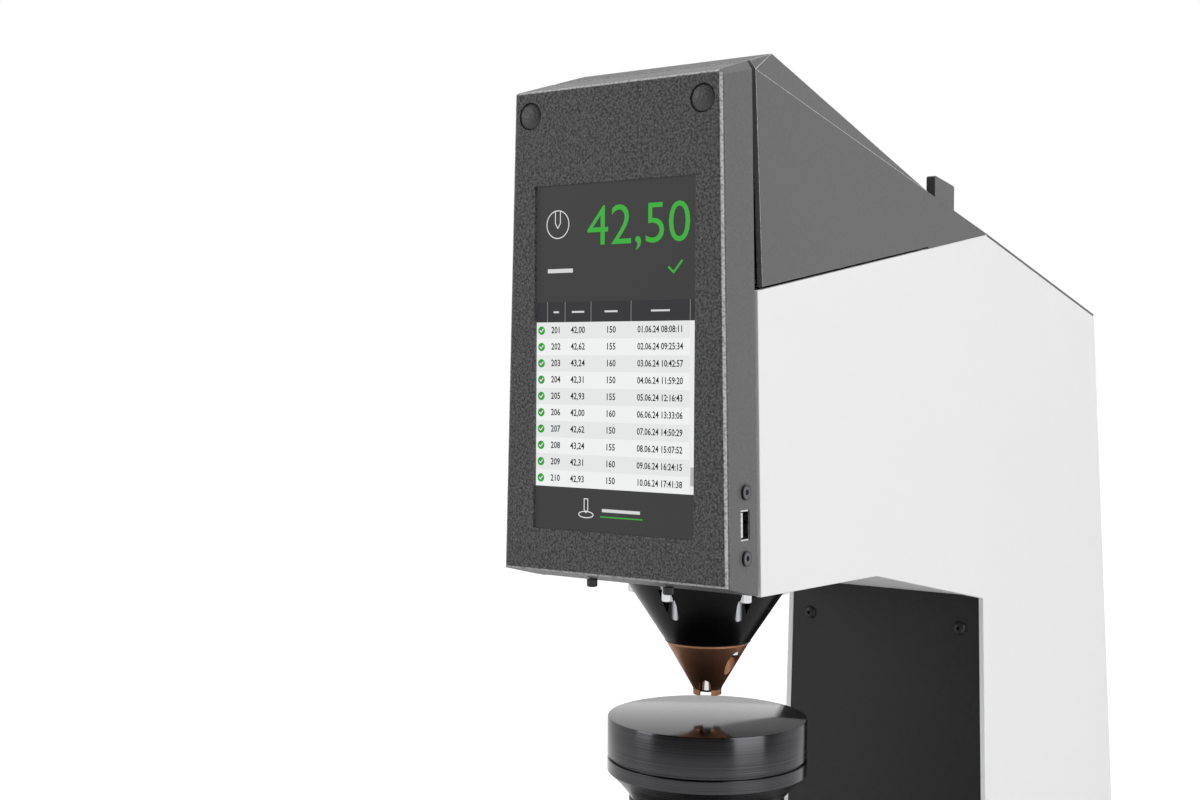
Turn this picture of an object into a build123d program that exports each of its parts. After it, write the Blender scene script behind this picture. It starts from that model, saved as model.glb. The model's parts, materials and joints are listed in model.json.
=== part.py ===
"""Bench hardness tester: a slim C-frame body with a touch display in the head, a motor-driven
load unit and indenter behind it, and an anvil on an elevating screw turned by a handwheel.

Millimetres. x to the right, y to the back, z up, with the origin on the bench under the middle
of the machine. Side views are drawn from the display face: depth behind it, height from its top.
"""

import os
from math import cos, pi, radians, sin

from build123d import *

os.makedirs("parts", exist_ok=True)

# ---- Body ----
FACE_TOP = 874.0          # top edge of the display face above the bench
FACE_HEIGHT = 215.5
HALF_WIDTH = 55.4         # half the body's width at the face's top edge
TAPER = 0.0225            # how far each side leans out per mm downwards
BASE_NOSE = 16.0          # how far the base's front stands ahead of the face
REAR_TOP = 454.0          # depth of the rear top corner
REAR_DROP = 94.0          # and how far it lies below the face's top edge
REAR_SLOPE = 0.0805       # how far the back leans out per mm downwards
PEAK_DEPTH = 280.0        # where grey wedge, roof and white panels meet
PEAK_DROP = 48.1
ROOF_SLOPE = 0.228        # fall of the roof behind the peak
WEDGE_SLOPE = 0.2115      # fall of the grey wedge's top in front of the peak
DIVIDE_SLOPE = 0.166      # rise of the line between grey wedge and white panel
RIDGE_DEPTH = 48.0        # crest of the faceted hood
RIDGE_RISE = 15.5
RIDGE_HALF = 51.5
FACET_FRONT_DEPTH = 2.0   # front end of the side facet
FACET_FRONT_RISE = 1.5
FACET_FRONT_HALF = 54.0
HOOD_REAR = 201.8         # depth of the hood's rear edge
HEAD_DROP = 222.0         # underside of the head's side panels below the face's top
COLUMN_DEPTH = 269.0      # front edge of the side panels along the column
BASE_LEAN = 0.04          # how far the base's front leans out per mm downwards
CORNER_ROUND = 4.0        # rear top corner of the side panels
THROAT_KINK = 138.6       # where the head's underside starts to fall
THROAT_KINK_DROP = 224.2
THROAT_DROP = 249.8       # underside of the head at the column
BASE_HEIGHT = 240.0
FOOT_HEIGHT = 10.0
TEST_DEPTH = 80.7         # indenter and spindle axis behind the face

# ---- Sheet and wall thicknesses ----
PANEL_WALL = 3.0
HOOD_WALL = 2.5
FACE_WALL = 2.0
HOUSING_WALL = 3.0
COVER_WALL = 3.0
ROOF_WALL = 1.2
TOP_COVER_WALL = 4.0
COVER_EDGE = 2.0          # rounded upper edge of the base's front
BASE_PLATE_WALL = 3.0

# ---- Front housing ----
STRIP_DEPTH = 24.8        # depth of the housing's sides
STRIP_FALL = 0.23         # fall of its underside per mm of depth
SEAM = 3.0                # dark seam between the housing and the hood
FACE_ROUND = 2.3
SCREEN_HALF = 43.1
SCREEN_TOP = 42.0         # below the face's top edge
SCREEN_BOTTOM = 196.2
GLASS_LAP = 3.0           # how far the glass reaches behind the face
GLASS_WALL = 5.0
PLUG_X = 46.07
PLUG_DROP = 10.0
PLUG_R = 6.2
PLUG_SEAT = 1.2
PORT_DEPTH = 15.0
PORT_DROP = 190.0
PORT_HALF_Y = 3.75
PORT_HALF_Z = 6.6
PORT_LENGTH = 14.0
PORT_SCREW_PITCH = 28.1
PORT_SCREW_R = 3.3

PORT_SHANK_R = 1.6
PORT_SCREW_HEAD = 1.1
PORT_FLANGE = 2.0
PORT_TONGUE = 1.9
PLUG_PROUD = 0.6
BOARD_WIDE = 80.0
BOARD_TALL = 120.0
BOARD_WALL = 1.6
BOARD_PILLAR = 4.0
BOARD_PARTS = 4.0
BOARD_EDGE = 5.0          # pillars' middles from the board's edges
PILLAR_R = 2.5
CHIP = 34.0               # processor under its square heat sink
JACK_WIDE = 16.0
JACK_TALL = 12.0
MODULE_WIDE = 26.0
MODULE_TALL = 20.0
SEAM_INSET = 2.0          # how far the bulkhead's edge lies inside the skins
BULKHEAD_WINDOW = 64.0
HEAD_SCREW_X = 20.7
HEAD_SCREW_DEPTH = 15.0
HEAD_SCREW_R = 2.45
HEAD_SCREW_HEAD = 3.3
HEAD_SCREW_SHANK_R = 1.5
SCREW_EDGE = 0.5          # chamfer on the screws' heads
HEX_R = 1.4               # hexagon sockets of all the screws

# ---- Hood and lifting lugs ----
HOOD_GAP = 1.2            # dark gap between the hood's lower edge and the panels
HOOD_LEAN = 3.8           # how far the hood's front edge leans back
LUG_X = 39.3
LUG_WIDTH = 5.3
LUG_DEPTH = 242.0
LUG_LENGTH = 25.8
LUG_DROP = 18.0           # front of its top below the face's top edge
LUG_FALL = 0.143          # fall of its top per mm of depth
LUG_ROUND = 1.5

# ---- Nose ----
NOSE_TOP = 220.0          # head plate's underside below the face's top edge
HEAD_PLATE_WALL = 12.0
NOSE_TOP_R = 42.7
NOSE_END_R = 20.6
NOSE_END = 253.2
NOSE_RIM = 0.5            # straight rim under the black cone
NOSE_BORE_R = 14.0
NOSE_SCREWS = 6
NOSE_SCREW_PCR = 35.6
NOSE_SCREW_R = 2.85
NOSE_SCREW_HEAD = 5.0
NOSE_SCREW_SHANK_R = 1.5
NOSE_SCREW_START = 1.0    # first screw's angle from straight ahead, in degrees
POCKET_R = 3.5
POCKET_PCR = 32.4         # round inner end of a pocket
POCKET_TOP = 225.5
TIP_R = 19.6
TIP_CONE_R = 7.5
TIP_CONE_END = 275.4
TIP_R_END = 6.8
TIP_END = 279.5
TIP_BORE_R = 4.3
TIP_BORE_TOP = 264.0      # where the tip's bore opens out
TIP_RIM = 1.0
TIP_STEP = 1.5
TIP_SCREW_LEAN = 0.4      # how far the tip screws stand outwards in their pockets
TIP_SCREW_HEAD = 3.3
TIP_SHANK_R = 1.4
TIP_SCREW_PCR = 14.6
TIP_SCREW_R = 2.9
TIP_SCREW_ANGLE = 83.0
TIP_POCKET_R = 3.4
TIP_POCKET_TOP = 256.4
NOTCH_WIDTH = 5.5
NOTCH_HEIGHT = 8.0
NOTCH_ANGLE = 24.0

# ---- Load unit ----
RUN = 0.05                # radial running clearance of shafts and bushes
GAP = 0.3                 # clearance between pieces that move past each other
QUILL_R = 10.0
INDENTER_R = 3.8
DIAMOND_R = 1.3           # cone set in the holder's end
DIAMOND_HIGH = 0.7
DIAMOND_FLAT = 0.2
HOLDER_EDGE = 0.5
BALL_SCREW_R = 6.0
BELT_PITCH = 3.0
SCREW_TEETH = 48
MOTOR_TEETH = 16
TOOTH_DEPTH = 1.1
PULLEY_HEIGHT = 12.0
BELT_WALL = 2.0
BELT_WIDTH = 9.0
DRIVE_PLATE_DROP = 49.0   # top of the drive plate below the face's top edge
DRIVE_PLATE_WALL = 6.0
MOTOR_DEPTH = 163.0
MOTOR_HALF = 28.5
MOTOR_HEIGHT = 70.0
RAIL_WIDTH = 15.0
RAIL_WALL = 10.0
RAIL_GROOVE = 3.0
RAIL_TOP = 70.0           # rail's ends below the face's top edge
RAIL_BOTTOM = 205.0
CARRIAGE_STAND = 16.0     # carriage's face in front of the casting
CARRIAGE_LIFT = 3.0       # and its skirts clear of the casting
CARRIAGE_WIDTH = 32.0
CARRIAGE_LENGTH = 44.0
BRACKET_TOP = 112.0
BRACKET_WALL = 8.0
ARM_WALL = 12.0
CELL_DROP = 160.0         # load cell's top below the face's top edge
CELL_R = 20.0
CELL_HEIGHT = 20.0
BALL_NUT_R = 12.0
BALL_NUT_HEIGHT = 30.0
SCREW_BEARING_R = 20.0
SCREW_BEARING_HEIGHT = 20.0
DRIVE_PLATE_FRONT = 55.0
PULLEY_CLEAR = 2.0
MOTOR_SPIGOT_R = 9.0
MOTOR_SHAFT_R = 3.2
MOTOR_SHAFT_SEAT = 12.0
BUSH_R = 16.0
BUSH_FLANGE = 4.0
INDENTER_END = 279.0      # indenter's point below the face's top edge, at rest
FRAME_FACE = 122.0        # depth of the casting's machined front face

# ---- Frame casting ----
FRAME_HALF_WEB = 10.0
FRAME_FLANGE = 16.0
RIB_WALL = 12.0
FRAME_CLEAR = 8.0         # between the casting and the covers
POST_R = 48.0             # round post that carries the spindle
POST_HOLLOW = 110.0       # height of the widened hollow in its foot
UPSTAND_WALL = 12.0
DRIVE_PLATE_HALF = 34.0
BEARING_SPIGOT_R = 36.0
BEARING_SPIGOT = 20.0

# ---- Elevating unit ----
SPINDLE_R = 19.0
SPINDLE_BORE_R = 8.0
SPINDLE_HEAD_R = 34.0
SPINDLE_HEAD = 10.0
SPINDLE_FOOT = 224.0      # lower end of the screw above the bench, at rest
ANVIL_DOWN = 200.0        # how far the anvil goes down from rest
GUIDE_TOP = 290.0
GUIDE_FLAT = 6.5          # half the distance across the guide rod's flats
GUIDE_FLANGE_R = 18.0
GUIDE_FLANGE = 6.0
ANVIL_R = 47.8
ANVIL_TOP_DROP = 290.0    # anvil's face below the display face's top edge, at rest
ANVIL_RIM = 18.4
ANVIL_GROOVE = 1.5
GROOVE_DEPTH = 1.2
ANVIL_EDGE = 0.8
ANVIL_BAND = 6.2
ANVIL_CONE = 4.7          # height of the cone under the band
ANVIL_CONE_IN = 5.3
ANVIL_STEP = 5.7          # height of the steeper cone under it
ANVIL_NECK_R = 36.8
ANVIL_HEIGHT = 38.8
ANVIL_STEM_R = 9.5
ANVIL_STEM = 36.0
NUT_R = 29.5
NUT_FLANGE_R = 45.0
NUT_FLANGE = 8.0
NUT_LENGTH = 60.0
BEARING_R = 46.0
BEARING_RISE = 14.0       # bearing housing above the casting's shelf
BEARING_EDGE = 1.5
THRUST_HEIGHT = 6.0
WHEEL_R = 95.0
WHEEL_HUB_R = 30.0
WHEEL_LOBES = 12
WHEEL_RIM = 17.0          # width of the grip rim
WHEEL_DISH = 14.0
WHEEL_LIP = 6.0
WHEEL_CLEAR = 6.0         # rim above the base
SCALLOP_R = 15.0
SCALLOP_BITE = 5.0
CUP_R = 52.0
CUP_WALL = 4.0
CUP_HEIGHT = 18.0
CUP_FLOOR = 3.0
BELLOWS_COLLAR = 6.0
GUIDE_SPARE = 5.0
BELLOWS_R = 46.0
BELLOWS_ROOT_R = 37.0
BELLOWS_BORE_R = 31.0
BELLOWS_FOLDS = 15

# ---- Rear connectors and electronics ----
PANEL_Z = 78.0            # height of the connector panel's middle above the bench
WINDOW_MARGIN = 8.5       # casting's window round the connectors
INLET_X = 17.0            # mains inlet's middle, seen from behind to the right
INLET_WIDE = 58.0
INLET_TALL = 27.0
INLET_DEEP = 26.0
INLET_FLANGE = 2.0
SOCKET_X = 10.0           # plug cavity's middle from the inlet's middle
SOCKET_WIDE = 24.2
SOCKET_TALL = 16.6
SOCKET_DEEP = 17.0
PIN_PITCH = 7.0
PIN_RISE = 3.6            # earth pin above the cavity's middle
PIN_FALL = 1.0            # and the other two below it
PIN_WIDE = 2.0
PIN_SETBACK = 3.0
INLET_LAP = 2.0           # flange round the inlet's cut-out
SWITCH_X = -17.5
SWITCH_WIDE = 13.2
ROCKER_R = 9.9
ROCKER_PIVOT = 4.0        # rocker's pivot below the flange's face
ROCKER_TILT = 8.0         # rocker's tilt to either side of level, in degrees
ROCKER_PIN_R = 1.2
PIN_REACH = 1.9           # rocker's pins into the well's sides
ROCKER_END_RISE = 2.8     # rocker's ends proud of the flange when it is level
ROCKER_MID_RISE = 0.6
LAN_X = -31.0
LAN_WIDE = 16.0
LAN_TALL = 13.6
LAN_DEEP = 20.0
LAN_HOLE_WIDE = 11.8
LAN_HOLE_TALL = 8.4
LAN_LATCH = 2.4           # notch for the plug's latch
LAN_LAP = 2.0
LAN_PROUD = 0.5
VENT_SLOTS = 9
VENT_PITCH = 9.0
VENT_WIDE = 56.0
VENT_TALL = 4.0
VENT_Z = 560.0
SUPPLY_SIZE = (40.0, 98.0, 160.0)
SUPPLY_SETBACK = 50.0
SUPPLY_Z = 340.0
DRIVER_SIZE = (24.0, 60.0, 60.0)
DRIVER_DEPTH = 320.0
DRIVER_DROP = 135.0
DRIVER_FINS = 8
DRIVER_FIN = 2.0
DRIVER_WALL = 4.0

# ---- Column cover and feet ----
COVER_INSET = 0.5         # cover's face behind the panels' edges
THROAT_INSET = 1.0        # throat roof above the panels' edges
COVER_SCREW_X = 47.0
COVER_SCREW_ROOM = 17.8   # highest screws below the throat's roof
COVER_SCREW_STAND = 20.0  # lowest screws above the base
COVER_SCREW_R = 3.8
COVER_SCREW_HEAD = 2.2
COVER_SHANK_R = 2.0
FOOT_R = 17.0
FOOT_X = 46.0
FOOT_FRONT = 26.0         # depth of the front feet behind the face
FOOT_REAR = 486.0

# ---- Worked out from the values above ----
rear_foot = REAR_TOP + REAR_SLOPE * (FACE_TOP - REAR_DROP - FOOT_HEIGHT)
FACE_Y = BASE_NOSE - (rear_foot + BASE_NOSE) / 2    # the display face's own y
TEST_Y = FACE_Y + TEST_DEPTH
BODY_SPAN = HALF_WIDTH + TAPER * FACE_TOP + 10.0    # wider than the body anywhere
shelf_z = BASE_HEIGHT - TOP_COVER_WALL              # casting's top face in the base
frame_foot = FOOT_HEIGHT + BASE_PLATE_WALL
bearing_top = shelf_z + BEARING_RISE
nut_base = bearing_top + THRUST_HEIGHT + 0.1
nut_top = nut_base + NUT_FLANGE
wheel_top = nut_top + 8.0
wheel_foot = BASE_HEIGHT + WHEEL_CLEAR
anvil_top = FACE_TOP - ANVIL_TOP_DROP
anvil_foot = anvil_top - ANVIL_HEIGHT
hood_seat = STRIP_DEPTH + SEAM                      # depth where hood and panels start
screw_pulley_r = SCREW_TEETH * BELT_PITCH / (2 * pi)
motor_pulley_r = MOTOR_TEETH * BELT_PITCH / (2 * pi)


def at(depth, drop):
    """Side-view point from its depth behind the face and its drop below the face's top edge."""
    return (FACE_Y + depth, FACE_TOP - drop)


def half_width(z, inset=0.0):
    """Half the body's width at height z, less an inset."""
    return HALF_WIDTH + TAPER * (FACE_TOP - z) - inset


def rear_depth(z):
    """Depth of the leaning back at height z."""
    return REAR_TOP + REAR_SLOPE * (FACE_TOP - REAR_DROP - z)


def divide_drop(depth):
    """Drop of the line between grey wedge and white panel."""
    return PEAK_DROP + DIVIDE_SLOPE * (PEAK_DEPTH - depth)


def roof_drop(depth):
    """Drop of the body's top edge: gentler in front of the peak than behind it."""
    slope = WEDGE_SLOPE if depth < PEAK_DEPTH else ROOF_SLOPE
    return PEAK_DROP + slope * (depth - PEAK_DEPTH)


def throat_drop(depth):
    """Drop of the head's underside between the kink and the column."""
    slope = (THROAT_DROP - THROAT_KINK_DROP) / (COLUMN_DEPTH - THROAT_KINK)
    return THROAT_KINK_DROP + slope * (depth - THROAT_KINK)


def side_plane(inset=0.0, side=1):
    """One leaning side of the body, moved inwards by an inset, with its normal outwards."""
    normal = Vector(side, 0, TAPER).normalized()
    origin = Vector(side * HALF_WIDTH, 0, FACE_TOP) - normal * inset
    return Plane(origin=origin, x_dir=(0, side, 0), z_dir=normal)


def facet_planes(inset=0.0):
    """The hood's four side facets: a small one at the front and a long one behind, both sides."""
    planes = []
    for side in (1, -1):
        front = Vector(side * FACET_FRONT_HALF, *at(FACET_FRONT_DEPTH, -FACET_FRONT_RISE))
        crest = Vector(side * RIDGE_HALF, *at(RIDGE_DEPTH, -RIDGE_RISE))
        knee_drop = roof_drop(hood_seat)
        knee = Vector(side * half_width(FACE_TOP - knee_drop), *at(hood_seat, knee_drop))
        tail_drop = roof_drop(HOOD_REAR)
        tail = Vector(side * half_width(FACE_TOP - tail_drop), *at(HOOD_REAR, tail_drop))
        for corner, other in ((front, knee), (knee, tail)):
            normal = (other - corner).cross(crest - corner).normalized() * side
            planes.append(Plane(origin=corner - normal * inset, z_dir=normal))
    return planes


def front_slope_drop(depth):
    """Drop of the slope that climbs from the face's top edge to the hood's crest."""
    slope = (RIDGE_RISE - FACET_FRONT_RISE) / (RIDGE_DEPTH - FACET_FRONT_DEPTH)
    return -FACET_FRONT_RISE - slope * (depth - FACET_FRONT_DEPTH)


def rear_plane(z):
    """The leaning back at height z, its normal outwards and its x to the right seen from behind."""
    return Plane(origin=(0, FACE_Y + rear_depth(z), z), x_dir=(-1, 0, 0), z_dir=(0, 1, REAR_SLOPE))


def slab(outline, inset=0.0, facets=False):
    """Solid with the given side view that ends at the body's leaning sides, less an inset."""
    with BuildPart() as block:
        with BuildSketch(Plane.YZ):
            with BuildLine():
                Polyline(*outline, close=True)
            make_face()
        extrude(amount=BODY_SPAN, both=True)
        for side in (1, -1):
            split(bisect_by=side_plane(inset, side), keep=Keep.BOTTOM)
        if facets:
            for plane in facet_planes(inset):
                split(bisect_by=plane, keep=Keep.BOTTOM)
    return block.part


def finish(builder, name):
    """Label a finished piece and write it."""
    builder.part.label = name
    export_step(builder.part, f"parts/{name}.step")


# ---- C-frame casting: a cast C with flanges round a thin web, ribs, and a round spindle post ----
motor_bay_back = MOTOR_DEPTH + MOTOR_HALF + 4.0
motor_bay_floor = DRIVE_PLATE_DROP + DRIVE_PLATE_WALL + MOTOR_HEIGHT + 4.0
frame_under = NOSE_TOP - HEAD_PLATE_WALL
frame_outline = [
    at(FRAME_FACE, frame_under),
    at(FRAME_FACE, motor_bay_floor),
    at(motor_bay_back, motor_bay_floor),
    at(motor_bay_back, roof_drop(motor_bay_back) + 2 * FRAME_CLEAR),
    at(PEAK_DEPTH, PEAK_DROP + FRAME_CLEAR),
    at(REAR_TOP - FRAME_CLEAR, roof_drop(REAR_TOP) + FRAME_CLEAR),
    (FACE_Y + rear_depth(frame_foot) - FRAME_CLEAR, frame_foot),
    (FACE_Y + FRAME_CLEAR, frame_foot),
    (FACE_Y + FRAME_CLEAR, shelf_z),
    (FACE_Y + COLUMN_DEPTH + FRAME_CLEAR, shelf_z),
    at(COLUMN_DEPTH + FRAME_CLEAR, throat_drop(COLUMN_DEPTH) - FRAME_CLEAR),
    at(THROAT_KINK, frame_under),
]
column_back = FACE_Y + rear_depth(BASE_HEIGHT)
ribs = [
    (at(motor_bay_back, roof_drop(motor_bay_back)), at(COLUMN_DEPTH + FRAME_CLEAR, THROAT_DROP)),
    (at(COLUMN_DEPTH, THROAT_DROP), at(REAR_TOP, REAR_DROP)),
    ((FACE_Y + COLUMN_DEPTH, BASE_HEIGHT), (column_back, BASE_HEIGHT)),
    ((FACE_Y + COLUMN_DEPTH, BASE_HEIGHT), (FACE_Y + COLUMN_DEPTH, FOOT_HEIGHT)),
]
with BuildPart() as frame_casting:
    with BuildSketch(Plane.YZ):
        with BuildLine():
            Polyline(*frame_outline, close=True)
        make_face()
    extrude(amount=BODY_SPAN, both=True)
    for side in (1, -1):
        split(bisect_by=side_plane(PANEL_WALL, side), keep=Keep.BOTTOM)
    # Pockets on both sides leave the web, the flanges and three ribs.
    for side in (1, -1):
        with BuildSketch(Plane.YZ.offset(side * FRAME_HALF_WEB)):
            with BuildLine():
                Polyline(*frame_outline, close=True)
            make_face()
            offset(amount=-FRAME_FLANGE, kind=Kind.INTERSECTION)
            for start, end in ribs:
                trace(Edge.make_line(start, end), line_width=RIB_WALL, mode=Mode.SUBTRACT)
        extrude(amount=side * BODY_SPAN, mode=Mode.SUBTRACT)
    # Upstand that carries the load unit's rail and the drive plate.
    with BuildSketch(Plane.XY.offset(FACE_TOP - motor_bay_floor)):
        with Locations((0, FACE_Y + FRAME_FACE + UPSTAND_WALL / 2)):
            Rectangle(2 * DRIVE_PLATE_HALF, UPSTAND_WALL)
    extrude(amount=motor_bay_floor - DRIVE_PLATE_DROP - DRIVE_PLATE_WALL)
    # Round post with the bearing housing's seat and a clear way down for the screw.
    with BuildSketch(Plane.XY.offset(frame_foot)):
        with Locations((0, TEST_Y)):
            Circle(POST_R)
    extrude(amount=shelf_z - frame_foot)
    with Locations((0, TEST_Y, shelf_z)):
        Hole(radius=BEARING_SPIGOT_R + RUN, depth=BEARING_SPIGOT)
    with Locations((0, TEST_Y, shelf_z)):
        Hole(radius=NUT_R + 1.0)
    with BuildSketch(Plane.XY.offset(frame_foot)):
        with Locations((0, TEST_Y)):
            Circle(POST_R - 2 * HOUSING_WALL)
    extrude(amount=POST_HOLLOW, mode=Mode.SUBTRACT)
    # Window through the rear flange for the connectors.
    with BuildSketch(rear_plane(PANEL_Z)):
        Rectangle(2 * INLET_X + INLET_WIDE, INLET_TALL + 2 * WINDOW_MARGIN)
    extrude(amount=-INLET_DEEP - 2 * FRAME_CLEAR, mode=Mode.SUBTRACT)
finish(frame_casting, "frame_casting")

# ---- White side panels: one C of sheet a side, closed over the casting's flanges ----
def base_front_depth(z):
    """Depth of the base's leaning front at height z (ahead of the face it is negative)."""
    return -BASE_NOSE + BASE_LEAN * (z - FOOT_HEIGHT)


panel_outline = [
    at(hood_seat, divide_drop(hood_seat)),
    at(hood_seat, HEAD_DROP),
    at(THROAT_KINK, THROAT_KINK_DROP),
    at(COLUMN_DEPTH, THROAT_DROP),
    (FACE_Y + COLUMN_DEPTH, BASE_HEIGHT),
    (FACE_Y + base_front_depth(BASE_HEIGHT), BASE_HEIGHT),
    (FACE_Y + base_front_depth(FOOT_HEIGHT), FOOT_HEIGHT),
    (FACE_Y + rear_depth(FOOT_HEIGHT), FOOT_HEIGHT),
    at(rear_depth(FACE_TOP - roof_drop(REAR_TOP) - ROOF_WALL), roof_drop(REAR_TOP) + ROOF_WALL),
    at(PEAK_DEPTH, PEAK_DROP + ROOF_WALL),
    at(PEAK_DEPTH - 1, divide_drop(PEAK_DEPTH - 1)),
]
with BuildPart() as side_panel_right:
    with BuildSketch(Plane.YZ):
        with BuildLine():
            Polyline(*panel_outline, close=True)
        make_face()
    extrude(amount=BODY_SPAN)
    split(bisect_by=side_plane(), keep=Keep.BOTTOM)
    split(bisect_by=side_plane(PANEL_WALL), keep=Keep.TOP)
    across = side_panel_right.edges().filter_by(Axis.X, tolerance=5)
    rear_edges = [e for e in across if e.center().Y > FACE_Y + REAR_TOP - 5]
    fillet(max(rear_edges, key=lambda e: e.center().Z), CORNER_ROUND)
finish(side_panel_right, "side_panel_right")
with BuildPart() as side_panel_left:
    add(mirror(side_panel_right.part, about=Plane.YZ))
finish(side_panel_left, "side_panel_left")

# ---- Top hood: faceted cover over the load unit, open below, in front and behind ----
tail_drop = roof_drop(HOOD_REAR)
hood_outline = [
    at(hood_seat, front_slope_drop(hood_seat)),
    at(RIDGE_DEPTH, -RIDGE_RISE),
    at(HOOD_REAR, tail_drop),
    at(HOOD_REAR, divide_drop(HOOD_REAR) - HOOD_GAP),
    at(hood_seat + HOOD_LEAN, divide_drop(hood_seat + HOOD_LEAN) - HOOD_GAP),
]
hood_hollow = [
    at(hood_seat - HOOD_LEAN, front_slope_drop(hood_seat - HOOD_LEAN) + HOOD_WALL),
    at(RIDGE_DEPTH, -RIDGE_RISE + HOOD_WALL),
    at(HOOD_REAR + 1, tail_drop + HOOD_WALL),
    at(HOOD_REAR + 1, HEAD_DROP),
    at(hood_seat - HOOD_LEAN, HEAD_DROP),
]
with BuildPart() as top_hood:
    add(slab(hood_outline, facets=True))
    add(slab(hood_hollow, HOOD_WALL, facets=True), mode=Mode.SUBTRACT)
finish(top_hood, "top_hood")

# ---- Roof cover: rear end of the grey wedge and the sloping sheet behind the peak ----
roof_end = rear_depth(FACE_TOP - roof_drop(REAR_TOP)) - 1.0
roof_outline = [
    at(HOOD_REAR, tail_drop),
    at(PEAK_DEPTH, PEAK_DROP),
    at(roof_end, roof_drop(roof_end)),
    at(roof_end, roof_drop(roof_end) + ROOF_WALL),
    at(PEAK_DEPTH, PEAK_DROP + ROOF_WALL),
    at(PEAK_DEPTH - 1, divide_drop(PEAK_DEPTH - 1)),
    at(HOOD_REAR, divide_drop(HOOD_REAR)),
]
roof_hollow = [
    at(HOOD_REAR - 1, roof_drop(HOOD_REAR - 1) + ROOF_WALL),
    at(PEAK_DEPTH + 1, PEAK_DROP + ROOF_WALL),
    at(PEAK_DEPTH + 1, HEAD_DROP),
    at(HOOD_REAR - 1, HEAD_DROP),
]
with BuildPart() as roof_cover:
    add(slab(roof_outline))
    add(slab(roof_hollow, HOOD_WALL), mode=Mode.SUBTRACT)
finish(roof_cover, "roof_cover")

# ---- Lifting lugs: two bars that stand on the roof behind the hood ----
with BuildPart() as lifting_lugs:
    with BuildSketch(Plane.YZ.offset(LUG_X - LUG_WIDTH / 2)):
        with BuildLine():
            Polyline(
                at(LUG_DEPTH, LUG_DROP),
                at(LUG_DEPTH + LUG_LENGTH, LUG_DROP + LUG_FALL * LUG_LENGTH),
                at(LUG_DEPTH + LUG_LENGTH, roof_drop(LUG_DEPTH + LUG_LENGTH)),
                at(LUG_DEPTH, roof_drop(LUG_DEPTH)),
                close=True,
            )
        make_face()
    extrude(amount=LUG_WIDTH)
    lug_tops = lifting_lugs.edges().filter_by(Axis.X).group_by(Axis.Z)[-2:]
    fillet([edge for top in lug_tops for edge in top], LUG_ROUND)
    mirror(about=Plane.YZ)
finish(lifting_lugs, "lifting_lugs")

# ---- Front housing: textured moulding round the display, open at the back ----
face_plane = Plane(origin=(0, FACE_Y, FACE_TOP), x_dir=(1, 0, 0), z_dir=(0, -1, 0))
under_drop = FACE_HEIGHT + STRIP_FALL * STRIP_DEPTH
housing_outline = [
    at(0, front_slope_drop(0)),
    at(0, FACE_HEIGHT),
    at(STRIP_DEPTH, under_drop),
    at(STRIP_DEPTH, front_slope_drop(STRIP_DEPTH)),
]
housing_hollow = [
    at(FACE_WALL, front_slope_drop(FACE_WALL) + HOUSING_WALL),
    at(FACE_WALL, FACE_HEIGHT - HOUSING_WALL),
    at(STRIP_DEPTH + 1, under_drop - HOUSING_WALL),
    at(STRIP_DEPTH + 1, front_slope_drop(STRIP_DEPTH + 1) + HOUSING_WALL),
]
screen_mid = -(SCREEN_TOP + SCREEN_BOTTOM) / 2
screen_tall = SCREEN_BOTTOM - SCREEN_TOP
head_screw_spots = [(side * HEAD_SCREW_X, FACE_Y + HEAD_SCREW_DEPTH) for side in (1, -1)]
port_plane = side_plane()
port_spot = (FACE_Y + PORT_DEPTH, -PORT_DROP)
port_screw_spots = [(port_spot[0], port_spot[1] + s * PORT_SCREW_PITCH / 2) for s in (1, -1)]
with BuildPart() as front_housing:
    add(slab(housing_outline))
    fillet(front_housing.faces().sort_by(Axis.Y)[0].edges(), FACE_ROUND)
    for plane in facet_planes():
        split(bisect_by=plane, keep=Keep.BOTTOM)
    add(slab(housing_hollow, HOUSING_WALL, facets=True), mode=Mode.SUBTRACT)
    with BuildSketch(face_plane):
        with Locations((0, screen_mid)):
            Rectangle(2 * SCREEN_HALF, screen_tall)
    extrude(amount=-FACE_WALL, mode=Mode.SUBTRACT)
    with BuildSketch(face_plane):
        with Locations((PLUG_X, -PLUG_DROP), (-PLUG_X, -PLUG_DROP)):
            Circle(PLUG_R)
    extrude(amount=-PLUG_SEAT, mode=Mode.SUBTRACT)
    with BuildSketch(port_plane):
        with Locations(port_spot):
            Rectangle(2 * PORT_HALF_Y, 2 * PORT_HALF_Z)
        with Locations(*port_screw_spots):
            Circle(PORT_SHANK_R)
    extrude(amount=-2 * HOUSING_WALL, mode=Mode.SUBTRACT)
    with BuildSketch(Plane.XY.offset(FACE_TOP - under_drop - 1)):
        with Locations(*head_screw_spots):
            Circle(HEAD_SCREW_SHANK_R)
    extrude(amount=4 * HOUSING_WALL, mode=Mode.SUBTRACT)
finish(front_housing, "front_housing")

# ---- Face plugs: flat caps over the housing's upper screws ----
with BuildPart() as face_plugs:
    with BuildSketch(face_plane.offset(-PLUG_SEAT)):
        with Locations((PLUG_X, -PLUG_DROP), (-PLUG_X, -PLUG_DROP)):
            Circle(PLUG_R - RUN)
    extrude(amount=PLUG_SEAT + PLUG_PROUD)
    chamfer(face_plugs.faces().group_by(Axis.Y)[0].edges(), PLUG_PROUD / 2)
finish(face_plugs, "face_plugs")

# ---- Display module: touch glass bonded to its panel, held behind the opening ----
with BuildPart() as display_module:
    with BuildSketch(face_plane.offset(-FACE_WALL)):
        with Locations((0, screen_mid)):
            RectangleRounded(2 * (SCREEN_HALF + GLASS_LAP), screen_tall + 2 * GLASS_LAP, 2.0)
    extrude(amount=-GLASS_WALL)
finish(display_module, "display_module")

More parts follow.
